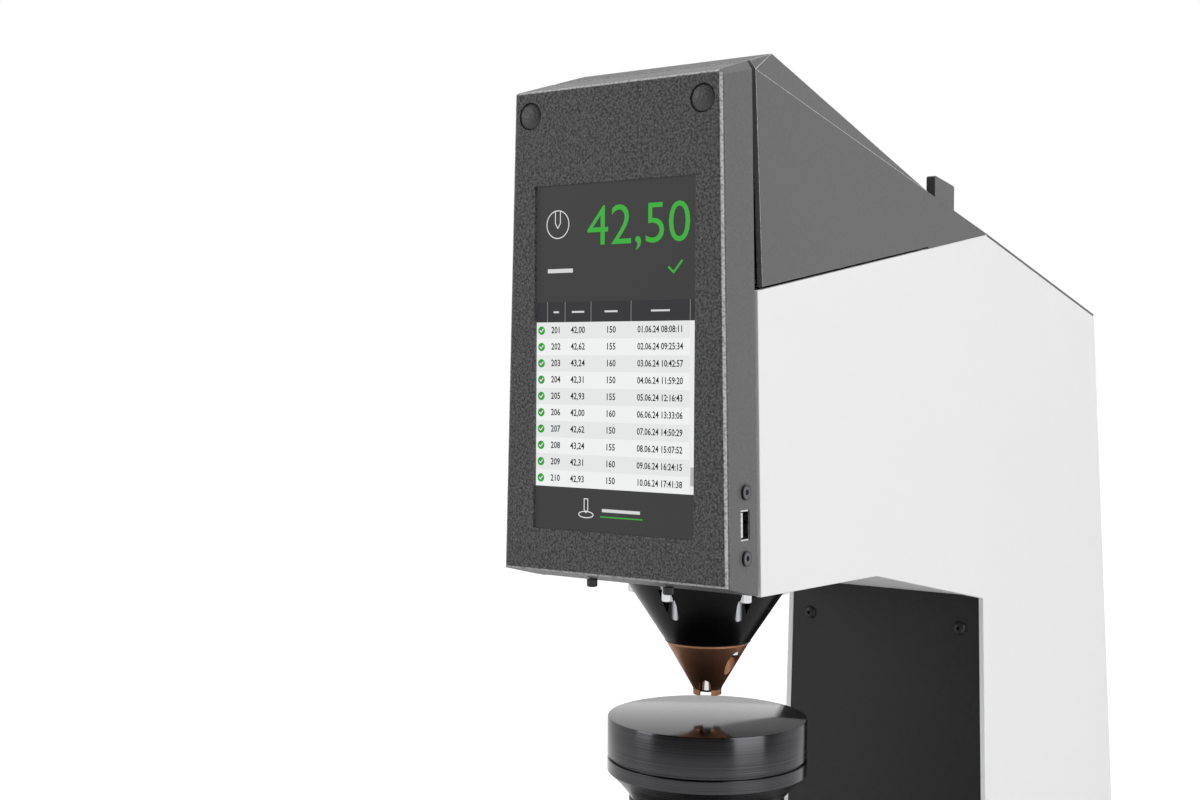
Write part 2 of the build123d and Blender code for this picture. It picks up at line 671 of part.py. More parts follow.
# ---- Controller board on four pillars behind the display ----
board_front = FACE_WALL + GLASS_WALL + BOARD_PILLAR
with BuildPart() as controller_board:
    with BuildSketch(face_plane.offset(-board_front)):
        with Locations((0, screen_mid)):
            RectangleRounded(BOARD_WIDE, BOARD_TALL, 3.0)
    extrude(amount=-BOARD_WALL)
    with BuildSketch(face_plane.offset(-board_front)):
        with Locations((0, screen_mid)):
            with GridLocations(BOARD_WIDE - 2 * BOARD_EDGE, BOARD_TALL - 2 * BOARD_EDGE, 2, 2):
                Circle(PILLAR_R)
    extrude(amount=BOARD_PILLAR)
    with BuildSketch(face_plane.offset(-board_front - BOARD_WALL)):
        with Locations((-0.15 * BOARD_WIDE, screen_mid + 0.15 * BOARD_TALL)):
            Rectangle(CHIP, CHIP)
        with Locations((0, screen_mid - 0.35 * BOARD_TALL)):
            with Locations((BOARD_WIDE / 4, JACK_TALL), (BOARD_WIDE / 4, -JACK_TALL / 2)):
                Rectangle(JACK_WIDE, JACK_TALL)
            with Locations((-BOARD_WIDE / 4, 0)):
                Rectangle(MODULE_WIDE, MODULE_TALL)
    extrude(amount=-BOARD_PARTS)
finish(controller_board, "controller_board")

# ---- Bulkhead: steel plate that carries the housing; its edge is the dark seam ----
bulkhead_outline = [
    at(STRIP_DEPTH, front_slope_drop(STRIP_DEPTH) + SEAM_INSET),
    at(STRIP_DEPTH, NOSE_TOP),
    at(hood_seat, NOSE_TOP),
    at(hood_seat, front_slope_drop(hood_seat) + SEAM_INSET),
]
with BuildPart() as bulkhead_plate:
    add(slab(bulkhead_outline, SEAM_INSET, facets=True))
    with BuildSketch(face_plane.offset(-STRIP_DEPTH)):
        with Locations((0, screen_mid)):
            RectangleRounded(BULKHEAD_WINDOW, screen_tall - 20, 6.0)
    extrude(amount=-SEAM, mode=Mode.SUBTRACT)
finish(bulkhead_plate, "bulkhead_plate")

# ---- USB socket: shell, tongue and the flange behind the housing's wall ----
with BuildPart() as usb_socket:
    with BuildSketch(port_plane.offset(-0.4)):
        with Locations(port_spot):
            Rectangle(2 * PORT_HALF_Y - 0.2, 2 * PORT_HALF_Z - 0.2)
    extrude(amount=-PORT_LENGTH)
    with BuildSketch(port_plane.offset(-HOUSING_WALL)):
        with Locations(port_spot):
            SlotOverall(PORT_SCREW_PITCH + 10, 10, rotation=90)
    extrude(amount=-PORT_FLANGE)
    with BuildSketch(port_plane.offset(-0.4)):
        with Locations(port_spot):
            Rectangle(2 * PORT_HALF_Y - 1.4, 2 * PORT_HALF_Z - 1.4)
    extrude(amount=-PORT_LENGTH + 2, mode=Mode.SUBTRACT)
    with BuildSketch(port_plane.offset(-1.4)):
        with Locations((port_spot[0] - 0.8, port_spot[1])):
            Rectangle(PORT_TONGUE, 2 * PORT_HALF_Z - 2.6)
    extrude(amount=-PORT_LENGTH + 2)
    with BuildSketch(port_plane.offset(-HOUSING_WALL)):
        with Locations(*port_screw_spots):
            Circle(PORT_SHANK_R)
    extrude(amount=-PORT_FLANGE, mode=Mode.SUBTRACT)
finish(usb_socket, "usb_socket")

# ---- USB socket's screws: low heads with a hexagon socket ----
with BuildPart() as usb_screws:
    with BuildSketch(port_plane):
        with Locations(*port_screw_spots):
            Circle(PORT_SCREW_R)
    extrude(amount=PORT_SCREW_HEAD)
    with BuildSketch(port_plane):
        with Locations(*port_screw_spots):
            Circle(PORT_SHANK_R - RUN)
    extrude(amount=-HOUSING_WALL - PORT_FLANGE)
    with BuildSketch(port_plane.offset(PORT_SCREW_HEAD)):
        with Locations(*port_screw_spots):
            RegularPolygon(HEX_R, 6)
    extrude(amount=-PORT_SCREW_HEAD, mode=Mode.SUBTRACT)
finish(usb_screws, "usb_screws")

# ---- Head plate: machined steel plate under the casting that carries the nose ----
plate_outline = [
    at(hood_seat, NOSE_TOP - HEAD_PLATE_WALL),
    at(THROAT_KINK - PANEL_WALL, NOSE_TOP - HEAD_PLATE_WALL),
    at(THROAT_KINK - PANEL_WALL, NOSE_TOP),
    at(hood_seat, NOSE_TOP),
]
with BuildPart() as head_plate:
    add(slab(plate_outline, PANEL_WALL))
    with Locations((0, TEST_Y, FACE_TOP - NOSE_TOP + HEAD_PLATE_WALL)):
        Hole(radius=BUSH_R)
    with BuildSketch(Plane.XY.offset(FACE_TOP - NOSE_TOP)):
        with Locations((0, TEST_Y)):
            with PolarLocations(NOSE_SCREW_PCR, NOSE_SCREWS, start_angle=NOSE_SCREW_START - 90):
                Circle(NOSE_SCREW_SHANK_R)
    extrude(amount=HEAD_PLATE_WALL, mode=Mode.SUBTRACT)
finish(head_plate, "head_plate")

# ---- Head screws: two socket screws that hang under the housing ----
screw_seat_drop = FACE_HEIGHT + STRIP_FALL * (HEAD_SCREW_DEPTH + HEAD_SCREW_R)
with BuildPart() as head_screws:
    with BuildSketch(Plane.XY.offset(FACE_TOP - screw_seat_drop)):
        with Locations(*head_screw_spots):
            Circle(HEAD_SCREW_R)
    extrude(amount=-HEAD_SCREW_HEAD)
    chamfer(head_screws.faces().group_by(Axis.Z)[0].edges(), SCREW_EDGE)
    with BuildSketch(Plane.XY.offset(FACE_TOP - screw_seat_drop)):
        with Locations(*head_screw_spots):
            Circle(HEAD_SCREW_SHANK_R - RUN)
    extrude(amount=4 * HOUSING_WALL)
    with BuildSketch(Plane.XY.offset(FACE_TOP - screw_seat_drop - HEAD_SCREW_HEAD)):
        with Locations(*head_screw_spots):
            RegularPolygon(HEX_R, 6)
    extrude(amount=0.6 * HEAD_SCREW_HEAD, mode=Mode.SUBTRACT)
finish(head_screws, "head_screws")

# ---- Nose cone: black turned cone with six round-ended slots milled up for its screws ----
tip_seat = NOSE_END + NOSE_RIM
axis_plane = Plane(origin=(0, TEST_Y, FACE_TOP), x_dir=(1, 0, 0), z_dir=(0, -1, 0))
with BuildPart() as nose_cone:
    with BuildSketch(axis_plane):
        with BuildLine():
            Polyline(
                (NOSE_BORE_R, -NOSE_TOP),
                (NOSE_TOP_R, -NOSE_TOP),
                (NOSE_END_R, -NOSE_END),
                (NOSE_END_R, -tip_seat),
                (NOSE_BORE_R, -tip_seat),
                close=True,
            )
        make_face()
    revolve(axis=Axis((0, TEST_Y, 0), (0, 0, 1)))
    with BuildSketch(Plane.XY.offset(FACE_TOP - POCKET_TOP)):
        with Locations((0, TEST_Y)):
            with PolarLocations(POCKET_PCR, NOSE_SCREWS, start_angle=NOSE_SCREW_START - 90):
                Circle(POCKET_R)
                Rectangle(NOSE_TOP_R, 2 * POCKET_R, align=(Align.MIN, Align.CENTER))
    extrude(amount=POCKET_TOP - NOSE_END, mode=Mode.SUBTRACT)
    with BuildSketch(Plane.XY.offset(FACE_TOP - POCKET_TOP)):
        with Locations((0, TEST_Y)):
            with PolarLocations(NOSE_SCREW_PCR, NOSE_SCREWS, start_angle=NOSE_SCREW_START - 90):
                Circle(NOSE_SCREW_SHANK_R)
    extrude(amount=POCKET_TOP - NOSE_TOP, mode=Mode.SUBTRACT)
finish(nose_cone, "nose_cone")

# ---- Nose screws: socket heads up in the pockets, shanks into the head plate ----
with BuildPart() as nose_screws:
    with Locations((0, TEST_Y, FACE_TOP - POCKET_TOP)):
        with PolarLocations(NOSE_SCREW_PCR, NOSE_SCREWS, start_angle=NOSE_SCREW_START - 90):
            Cylinder(NOSE_SCREW_R, NOSE_SCREW_HEAD, align=(Align.CENTER, Align.CENTER, Align.MAX))
            Cylinder(
                NOSE_SCREW_SHANK_R - RUN,
                POCKET_TOP - NOSE_TOP + 0.8 * HEAD_PLATE_WALL,
                align=(Align.CENTER, Align.CENTER, Align.MIN),
            )
    chamfer(nose_screws.faces().group_by(Axis.Z)[0].edges(), SCREW_EDGE)
    with BuildSketch(Plane.XY.offset(FACE_TOP - POCKET_TOP - NOSE_SCREW_HEAD)):
        with Locations((0, TEST_Y)):
            with PolarLocations(NOSE_SCREW_PCR, NOSE_SCREWS, start_angle=NOSE_SCREW_START - 90):
                RegularPolygon(HEX_R, 6)
    extrude(amount=0.6 * NOSE_SCREW_HEAD, mode=Mode.SUBTRACT)
finish(nose_screws, "nose_screws")

# ---- Nose tip: bronze cone with a sight slot across its end and two clamp screw pockets ----
tip_spots = [TIP_SCREW_ANGLE - 90, TIP_SCREW_ANGLE + 90]
with BuildPart() as nose_tip:
    with BuildSketch(axis_plane):
        with BuildLine():
            Polyline(
                (NOSE_BORE_R, -tip_seat),
                (TIP_R, -tip_seat),
                (TIP_R, -tip_seat - TIP_RIM),
                (TIP_CONE_R, -TIP_CONE_END),
                (TIP_R_END, -TIP_CONE_END - TIP_STEP),
                (TIP_R_END, -TIP_END),
                (TIP_BORE_R, -TIP_END),
                (TIP_BORE_R, -TIP_BORE_TOP),
                (NOSE_BORE_R, -tip_seat - TIP_RIM),
                close=True,
            )
        make_face()
    revolve(axis=Axis((0, TEST_Y, 0), (0, 0, 1)))
    notch_plane = Plane(
        origin=(0, TEST_Y, FACE_TOP - TIP_END),
        x_dir=(cos(radians(NOTCH_ANGLE)), sin(radians(NOTCH_ANGLE)), 0),
        z_dir=(sin(radians(NOTCH_ANGLE)), -cos(radians(NOTCH_ANGLE)), 0),
    )
    with BuildSketch(notch_plane):
        with Locations((0, (NOTCH_HEIGHT - NOTCH_WIDTH / 2) / 2)):
            Rectangle(NOTCH_WIDTH, NOTCH_HEIGHT - NOTCH_WIDTH / 2)
        with Locations((0, NOTCH_HEIGHT - NOTCH_WIDTH / 2)):
            Circle(NOTCH_WIDTH / 2)
    extrude(amount=TIP_R, both=True, mode=Mode.SUBTRACT)
    for angle in tip_spots:
        with BuildSketch(Plane.XY.offset(FACE_TOP - TIP_POCKET_TOP)):
            with Locations((0, TEST_Y)):
                with PolarLocations(TIP_SCREW_PCR, 1, start_angle=angle):
                    Circle(TIP_POCKET_R)
        extrude(amount=TIP_POCKET_TOP - TIP_CONE_END, mode=Mode.SUBTRACT)
        with BuildSketch(Plane.XY.offset(FACE_TOP - TIP_POCKET_TOP)):
            with Locations((0, TEST_Y)):
                with PolarLocations(TIP_SCREW_PCR + TIP_SCREW_LEAN, 1, start_angle=angle):
                    Circle(TIP_SHANK_R)
        extrude(amount=TIP_POCKET_TOP - tip_seat, mode=Mode.SUBTRACT)
finish(nose_tip, "nose_tip")

# ---- Tip screws: small bright screws that clamp the tip up to the nose cone ----
with BuildPart() as tip_screws:
    for angle in tip_spots:
        with Locations((0, TEST_Y, FACE_TOP - TIP_POCKET_TOP)):
            with PolarLocations(TIP_SCREW_PCR + TIP_SCREW_LEAN, 1, start_angle=angle):
                Cylinder(TIP_SCREW_R, TIP_SCREW_HEAD, align=(Align.CENTER, Align.CENTER, Align.MAX))
                Cylinder(
                    TIP_SHANK_R - RUN,
                    TIP_POCKET_TOP - tip_seat,
                    align=(Align.CENTER, Align.CENTER, Align.MIN),
                )
    chamfer(tip_screws.faces().group_by(Axis.Z)[0].edges(), 0.3 * TIP_SCREW_HEAD)
finish(tip_screws, "tip_screws")

# ---- Guide bush: bronze sleeve pressed into the head plate for the quill ----
with BuildPart() as guide_bush:
    with BuildSketch(axis_plane):
        with BuildLine():
            Polyline(
                (QUILL_R + RUN, -NOSE_TOP),
                (BUSH_R, -NOSE_TOP),
                (BUSH_R, -NOSE_TOP + HEAD_PLATE_WALL),
                (BUSH_R + BUSH_FLANGE, -NOSE_TOP + HEAD_PLATE_WALL),
                (BUSH_R + BUSH_FLANGE, -NOSE_TOP + HEAD_PLATE_WALL + BUSH_FLANGE),
                (QUILL_R + RUN, -NOSE_TOP + HEAD_PLATE_WALL + BUSH_FLANGE),
                close=True,
            )
        make_face()
    revolve(axis=Axis((0, TEST_Y, 0), (0, 0, 1)))
finish(guide_bush, "guide_bush")


def turned(profile):
    """Turned piece on the test axis from (radius, drop) points."""
    with BuildPart() as piece:
        with BuildSketch(axis_plane):
            with BuildLine():
                Polyline(*[(radius, -drop) for radius, drop in profile], close=True)
            make_face()
        revolve(axis=Axis((0, TEST_Y, 0), (0, 0, 1)))
    return piece.part


# ---- Quill and indenter: ground shaft with the bright diamond holder in its end ----
quill_end = NOSE_END - 2.0
with BuildPart() as quill:
    add(turned([
        (0, CELL_DROP + CELL_HEIGHT),
        (QUILL_R, CELL_DROP + CELL_HEIGHT),
        (QUILL_R, quill_end - 2.0),
        (QUILL_R - 2.0, quill_end),
        (0, quill_end),
    ]))
finish(quill, "quill")
with BuildPart() as indenter:
    add(turned([
        (0, quill_end),
        (INDENTER_R, quill_end),
        (INDENTER_R, INDENTER_END - DIAMOND_HIGH - 2 * HOLDER_EDGE),
        (INDENTER_R - HOLDER_EDGE, INDENTER_END - DIAMOND_HIGH),
        (DIAMOND_R, INDENTER_END - DIAMOND_HIGH),
        (DIAMOND_FLAT, INDENTER_END),
        (0, INDENTER_END),
    ]))
finish(indenter, "indenter")

# ---- Load cell: round cell with a waisted middle under the load bracket ----
with BuildPart() as load_cell:
    add(turned([
        (0, CELL_DROP),
        (CELL_R, CELL_DROP),
        (CELL_R, CELL_DROP + 0.3 * CELL_HEIGHT),
        (CELL_R - 3.0, CELL_DROP + 0.35 * CELL_HEIGHT),
        (CELL_R - 3.0, CELL_DROP + 0.65 * CELL_HEIGHT),
        (CELL_R, CELL_DROP + 0.7 * CELL_HEIGHT),
        (CELL_R, CELL_DROP + CELL_HEIGHT),
        (0, CELL_DROP + CELL_HEIGHT),
    ]))
finish(load_cell, "load_cell")

# ---- Load bracket: angle that joins carriage, ball nut and load cell ----
carriage_face = FRAME_FACE - CARRIAGE_STAND
with BuildPart() as load_bracket:
    with BuildSketch(Plane.YZ):
        with BuildLine():
            Polyline(
                at(carriage_face, BRACKET_TOP),
                at(carriage_face - BRACKET_WALL, BRACKET_TOP),
                at(carriage_face - BRACKET_WALL, CELL_DROP - ARM_WALL),
                at(TEST_DEPTH - CELL_R - 2.0, CELL_DROP - ARM_WALL),
                at(TEST_DEPTH - CELL_R - 2.0, CELL_DROP),
                at(carriage_face, CELL_DROP),
                close=True,
            )
        make_face()
    extrude(amount=CELL_R, both=True)
    with Locations((0, TEST_Y, FACE_TOP - CELL_DROP + ARM_WALL)):
        Hole(radius=BALL_SCREW_R + 1.0)
finish(load_bracket, "load_bracket")

# ---- Ball nut: flanged nut on the bracket's arm ----
nut_foot = CELL_DROP - ARM_WALL
with BuildPart() as ball_nut:
    add(turned([
        (BALL_SCREW_R + RUN, nut_foot),
        (BALL_NUT_R + 4.0, nut_foot),
        (BALL_NUT_R + 4.0, nut_foot - 5.0),
        (BALL_NUT_R, nut_foot - 5.0),
        (BALL_NUT_R, nut_foot - BALL_NUT_HEIGHT),
        (BALL_SCREW_R + RUN, nut_foot - BALL_NUT_HEIGHT),
    ]))
finish(ball_nut, "ball_nut")

# ---- Linear rail on the casting's face, and its carriage ----
with BuildPart() as linear_rail:
    with BuildSketch(Plane.XY.offset(FACE_TOP - RAIL_BOTTOM)):
        with Locations((0, FACE_Y + FRAME_FACE - RAIL_WALL / 2)):
            Rectangle(RAIL_WIDTH, RAIL_WALL)
        groove_y = FACE_Y + FRAME_FACE - 0.6 * RAIL_WALL
        with Locations((RAIL_WIDTH / 2, groove_y), (-RAIL_WIDTH / 2, groove_y)):
            Rectangle(RAIL_GROOVE, RAIL_GROOVE, rotation=45, mode=Mode.SUBTRACT)
    extrude(amount=RAIL_BOTTOM - RAIL_TOP)
finish(linear_rail, "linear_rail")
with BuildPart() as rail_carriage:
    with BuildSketch(Plane.XY.offset(FACE_TOP - BRACKET_TOP - CARRIAGE_LENGTH)):
        with Locations((0, FACE_Y + carriage_face + (CARRIAGE_STAND - CARRIAGE_LIFT) / 2)):
            Rectangle(CARRIAGE_WIDTH, CARRIAGE_STAND - CARRIAGE_LIFT)
        with Locations((0, FACE_Y + FRAME_FACE - RAIL_WALL / 2)):
            Rectangle(RAIL_WIDTH + 2 * GAP, RAIL_WALL + 2 * GAP, mode=Mode.SUBTRACT)
    extrude(amount=CARRIAGE_LENGTH)
finish(rail_carriage, "rail_carriage")

# ---- Drive plate: carries the motor and the ball screw's bearing on the casting ----
with BuildPart() as drive_plate:
    with BuildSketch(Plane.XY.offset(FACE_TOP - DRIVE_PLATE_DROP)):
        with Locations((0, FACE_Y + (DRIVE_PLATE_FRONT + motor_bay_back) / 2)):
            RectangleRounded(2 * DRIVE_PLATE_HALF, motor_bay_back - DRIVE_PLATE_FRONT, 5.0)
        with Locations((0, TEST_Y)):
            Circle(BALL_SCREW_R + 2.0, mode=Mode.SUBTRACT)
        with Locations((0, FACE_Y + MOTOR_DEPTH)):
            Circle(MOTOR_SPIGOT_R, mode=Mode.SUBTRACT)
    extrude(amount=-DRIVE_PLATE_WALL)
finish(drive_plate, "drive_plate")

# ---- Ball screw bearing: block bolted under the drive plate ----
bearing_drop = DRIVE_PLATE_DROP + DRIVE_PLATE_WALL
with BuildPart() as screw_bearing:
    add(turned([
        (BALL_SCREW_R - 1.0 + RUN, bearing_drop),
        (SCREW_BEARING_R, bearing_drop),
        (SCREW_BEARING_R, bearing_drop + 6.0),
        (SCREW_BEARING_R - 5.0, bearing_drop + 6.0),
        (SCREW_BEARING_R - 5.0, bearing_drop + SCREW_BEARING_HEIGHT),
        (BALL_SCREW_R - 1.0 + RUN, bearing_drop + SCREW_BEARING_HEIGHT),
    ]))
finish(screw_bearing, "screw_bearing")

# ---- Ball screw: journal through the bearing, shoulder under it, thread down into the nut ----
screw_shoulder = bearing_drop + SCREW_BEARING_HEIGHT + GAP
pulley_foot = DRIVE_PLATE_DROP - PULLEY_CLEAR
with BuildPart() as ball_screw:
    add(turned([
        (0, pulley_foot - PULLEY_HEIGHT - 1.0),
        (BALL_SCREW_R - 1.0, pulley_foot - PULLEY_HEIGHT - 1.0),
        (BALL_SCREW_R - 1.0, screw_shoulder),
        (BALL_SCREW_R + 3.0, screw_shoulder),
        (BALL_SCREW_R + 3.0, screw_shoulder + 3.0),
        (BALL_SCREW_R, screw_shoulder + 3.0),
        (BALL_SCREW_R, CELL_DROP - 3.0),
        (0, CELL_DROP - 3.0),
    ]))
finish(ball_screw, "ball_screw")


def toothed_pulley(y, radius, teeth, bore):
    """Toothed belt pulley between two flanges, standing over the drive plate at y."""
    foot = FACE_TOP - pulley_foot
    with BuildPart() as pulley:
        with BuildSketch(Plane.XY.offset(foot)):
            with Locations((0, y)):
                Circle(radius)
                Circle(bore, mode=Mode.SUBTRACT)
                with PolarLocations(radius, teeth):
                    Rectangle(2 * TOOTH_DEPTH, 0.45 * BELT_PITCH, mode=Mode.SUBTRACT)
        extrude(amount=PULLEY_HEIGHT)
        for z in (foot, foot + PULLEY_HEIGHT - 1.0):
            with BuildSketch(Plane.XY.offset(z)):
                with Locations((0, y)):
                    Circle(radius + BELT_WALL)
                    Circle(bore, mode=Mode.SUBTRACT)
            extrude(amount=1.0)
    return pulley.part


# ---- Toothed pulleys on the ball screw and on the motor's shaft ----
with BuildPart() as screw_pulley:
    add(toothed_pulley(TEST_Y, screw_pulley_r, SCREW_TEETH, BALL_SCREW_R - 1.0))
finish(screw_pulley, "screw_pulley")
with BuildPart() as motor_pulley:
    add(toothed_pulley(FACE_Y + MOTOR_DEPTH, motor_pulley_r, MOTOR_TEETH, MOTOR_SHAFT_R))
    with Locations((0, FACE_Y + MOTOR_DEPTH, FACE_TOP - pulley_foot + PULLEY_HEIGHT)):
        Cylinder(
            MOTOR_SHAFT_R,
            PULLEY_HEIGHT + PULLEY_CLEAR + DRIVE_PLATE_WALL + MOTOR_SHAFT_SEAT,
            align=(Align.CENTER, Align.CENTER, Align.MAX),
        )
finish(motor_pulley, "motor_pulley")

# ---- Toothed belt round both pulleys ----
belt_foot = FACE_TOP - pulley_foot + (PULLEY_HEIGHT - BELT_WIDTH) / 2


def belt_loop(extra):
    """Loop round both pulleys, with an extra radius, as a sketch."""
    with BuildSketch(Plane.XY.offset(belt_foot)) as loop:
        with Locations((0, TEST_Y)):
            Circle(screw_pulley_r + extra)
        with Locations((0, FACE_Y + MOTOR_DEPTH)):
            Circle(motor_pulley_r + extra)
        make_hull()
    return loop.sketch


with BuildPart() as toothed_belt:
    extrude(belt_loop(GAP + BELT_WALL), amount=BELT_WIDTH)
    extrude(belt_loop(GAP), amount=BELT_WIDTH, mode=Mode.SUBTRACT)
finish(toothed_belt, "toothed_belt")

# ---- Load motor: square stepper hung under the drive plate ----
with BuildPart() as load_motor:
    with BuildSketch(Plane.XY.offset(FACE_TOP - bearing_drop)):
        with Locations((0, FACE_Y + MOTOR_DEPTH)):
            RectangleRounded(2 * MOTOR_HALF, 2 * MOTOR_HALF, 5.0)
    extrude(amount=-MOTOR_HEIGHT)
    with Locations((0, FACE_Y + MOTOR_DEPTH, FACE_TOP - bearing_drop)):
        Hole(radius=MOTOR_SHAFT_R + RUN, depth=MOTOR_SHAFT_SEAT + 1.0)
finish(load_motor, "load_motor")

# ---- Throat roof: pale sheet between the panels under the head ----
roof_front = THROAT_KINK - PANEL_WALL
with BuildPart() as throat_roof:
    add(slab([
        at(roof_front, throat_drop(roof_front) - THROAT_INSET),
        at(COLUMN_DEPTH, THROAT_DROP - THROAT_INSET),
        at(COLUMN_DEPTH, THROAT_DROP - THROAT_INSET - ROOF_WALL),
        at(roof_front, throat_drop(roof_front) - THROAT_INSET - ROOF_WALL),
    ], PANEL_WALL))
finish(throat_roof, "throat_roof")

# ---- Column cover: black sheet between the panels, held by dome screws ----
cover_face = Plane(
    origin=(0, FACE_Y + COLUMN_DEPTH + COVER_INSET, FACE_TOP), x_dir=(1, 0, 0), z_dir=(0, -1, 0)
)
high_drop = THROAT_DROP + COVER_SCREW_ROOM
low_drop = FACE_TOP - BASE_HEIGHT - COVER_SCREW_STAND
cover_drops = (high_drop, (high_drop + low_drop) / 2, low_drop)
cover_spots = [(s * COVER_SCREW_X, -drop) for s in (1, -1) for drop in cover_drops]
with BuildPart() as column_cover:
    add(slab([
        at(COLUMN_DEPTH + COVER_INSET, THROAT_DROP - THROAT_INSET - ROOF_WALL),
        at(COLUMN_DEPTH + COVER_INSET, FACE_TOP - BASE_HEIGHT),
        at(COLUMN_DEPTH + COVER_INSET + COVER_WALL, FACE_TOP - BASE_HEIGHT),
        at(COLUMN_DEPTH + COVER_INSET + COVER_WALL, THROAT_DROP - THROAT_INSET - ROOF_WALL),
    ], PANEL_WALL + RUN))
    with BuildSketch(cover_face):
        with Locations(*cover_spots):
            Circle(COVER_SHANK_R)
    extrude(amount=-COVER_WALL, mode=Mode.SUBTRACT)
finish(column_cover, "column_cover")

# ---- Cover screws: dome heads on the column cover, shanks into the casting ----
with BuildPart() as cover_screws:
    with BuildSketch(cover_face):
        with Locations(*cover_spots):
            Circle(COVER_SCREW_R)
    extrude(amount=COVER_SCREW_HEAD)
    chamfer(cover_screws.faces().group_by(Axis.Y)[0].edges(), 0.5 * COVER_SCREW_HEAD)
    with BuildSketch(cover_face):
        with Locations(*cover_spots):
            Circle(COVER_SHANK_R - RUN)
    extrude(amount=-FRAME_CLEAR + COVER_INSET)
    with BuildSketch(cover_face.offset(COVER_SCREW_HEAD)):
        with Locations(*cover_spots):
            RegularPolygon(HEX_R, 6)
    extrude(amount=-0.6 * COVER_SCREW_HEAD, mode=Mode.SUBTRACT)
finish(cover_screws, "cover_screws")

# ---- Base covers: black top plate, dark front, steel plate below on four rubber feet ----
front_foot = base_front_depth(FOOT_HEIGHT)
front_head = base_front_depth(BASE_HEIGHT)
with BuildPart() as base_top_cover:
    add(slab([
        (FACE_Y + front_head + COVER_WALL, shelf_z),
        (FACE_Y + COLUMN_DEPTH + COVER_INSET + COVER_WALL, shelf_z),
        (FACE_Y + COLUMN_DEPTH + COVER_INSET + COVER_WALL, BASE_HEIGHT),
        (FACE_Y + front_head + COVER_WALL, BASE_HEIGHT),
    ], PANEL_WALL))
    with Locations((0, TEST_Y, BASE_HEIGHT)):
        Hole(radius=BEARING_R + GAP)
finish(base_top_cover, "base_top_cover")
with BuildPart() as base_front_cover:
    add(slab([
        (FACE_Y + front_head, BASE_HEIGHT),
        (FACE_Y + front_foot, FOOT_HEIGHT),
        (FACE_Y + front_foot + COVER_WALL, FOOT_HEIGHT),
        (FACE_Y + front_head + COVER_WALL, BASE_HEIGHT),
    ], PANEL_WALL))
    front_edge = base_front_cover.edges().filter_by(Axis.X).group_by(Axis.Z)[-1].sort_by(Axis.Y)[0]
    fillet(front_edge, COVER_EDGE)
finish(base_front_cover, "base_front_cover")
with BuildPart() as base_plate:
    add(slab([
        (FACE_Y + front_foot + COVER_WALL, FOOT_HEIGHT),
        (FACE_Y + rear_foot - ROOF_WALL, FOOT_HEIGHT),
        (FACE_Y + rear_depth(frame_foot) - ROOF_WALL, frame_foot),
        (FACE_Y + base_front_depth(frame_foot) + COVER_WALL, frame_foot),
    ], PANEL_WALL))
finish(base_plate, "base_plate")
with BuildPart() as rubber_feet:
    for depth in (FOOT_FRONT, FOOT_REAR):
        with Locations((FOOT_X, FACE_Y + depth, 0), (-FOOT_X, FACE_Y + depth, 0)):
            Cone(FOOT_R, FOOT_R - 2.0, FOOT_HEIGHT, align=(Align.CENTER, Align.CENTER, Align.MIN))
            Hole(radius=FOOT_R / 4, depth=FOOT_HEIGHT / 2)
finish(rubber_feet, "rubber_feet")

# ---- Rear cover: one sheet between the panels, with vents and the connector cut-outs ----
rear_head = FACE_TOP - roof_drop(REAR_TOP) - ROOF_WALL - 1.0
inlet_spot = (INLET_X, 0)
lan_spot = (LAN_X, 0)
with BuildPart() as rear_cover:
    add(slab([
        (FACE_Y + rear_depth(FOOT_HEIGHT), FOOT_HEIGHT),
        (FACE_Y + rear_depth(rear_head), rear_head),
        (FACE_Y + rear_depth(rear_head) - ROOF_WALL, rear_head),
        (FACE_Y + rear_depth(FOOT_HEIGHT) - ROOF_WALL, FOOT_HEIGHT),
    ], PANEL_WALL))
    with BuildSketch(rear_plane(VENT_Z)):
        with GridLocations(1, VENT_PITCH, 1, VENT_SLOTS):
            SlotOverall(VENT_WIDE, VENT_TALL)
    extrude(amount=-2 * ROOF_WALL, mode=Mode.SUBTRACT)
    with BuildSketch(rear_plane(PANEL_Z)):
        with Locations(inlet_spot):
            Rectangle(INLET_WIDE - 2 * INLET_LAP, INLET_TALL - 2 * INLET_LAP)
        with Locations(lan_spot):
            Rectangle(LAN_WIDE, LAN_TALL)
    extrude(amount=-2 * ROOF_WALL, mode=Mode.SUBTRACT)
finish(rear_cover, "rear_cover")

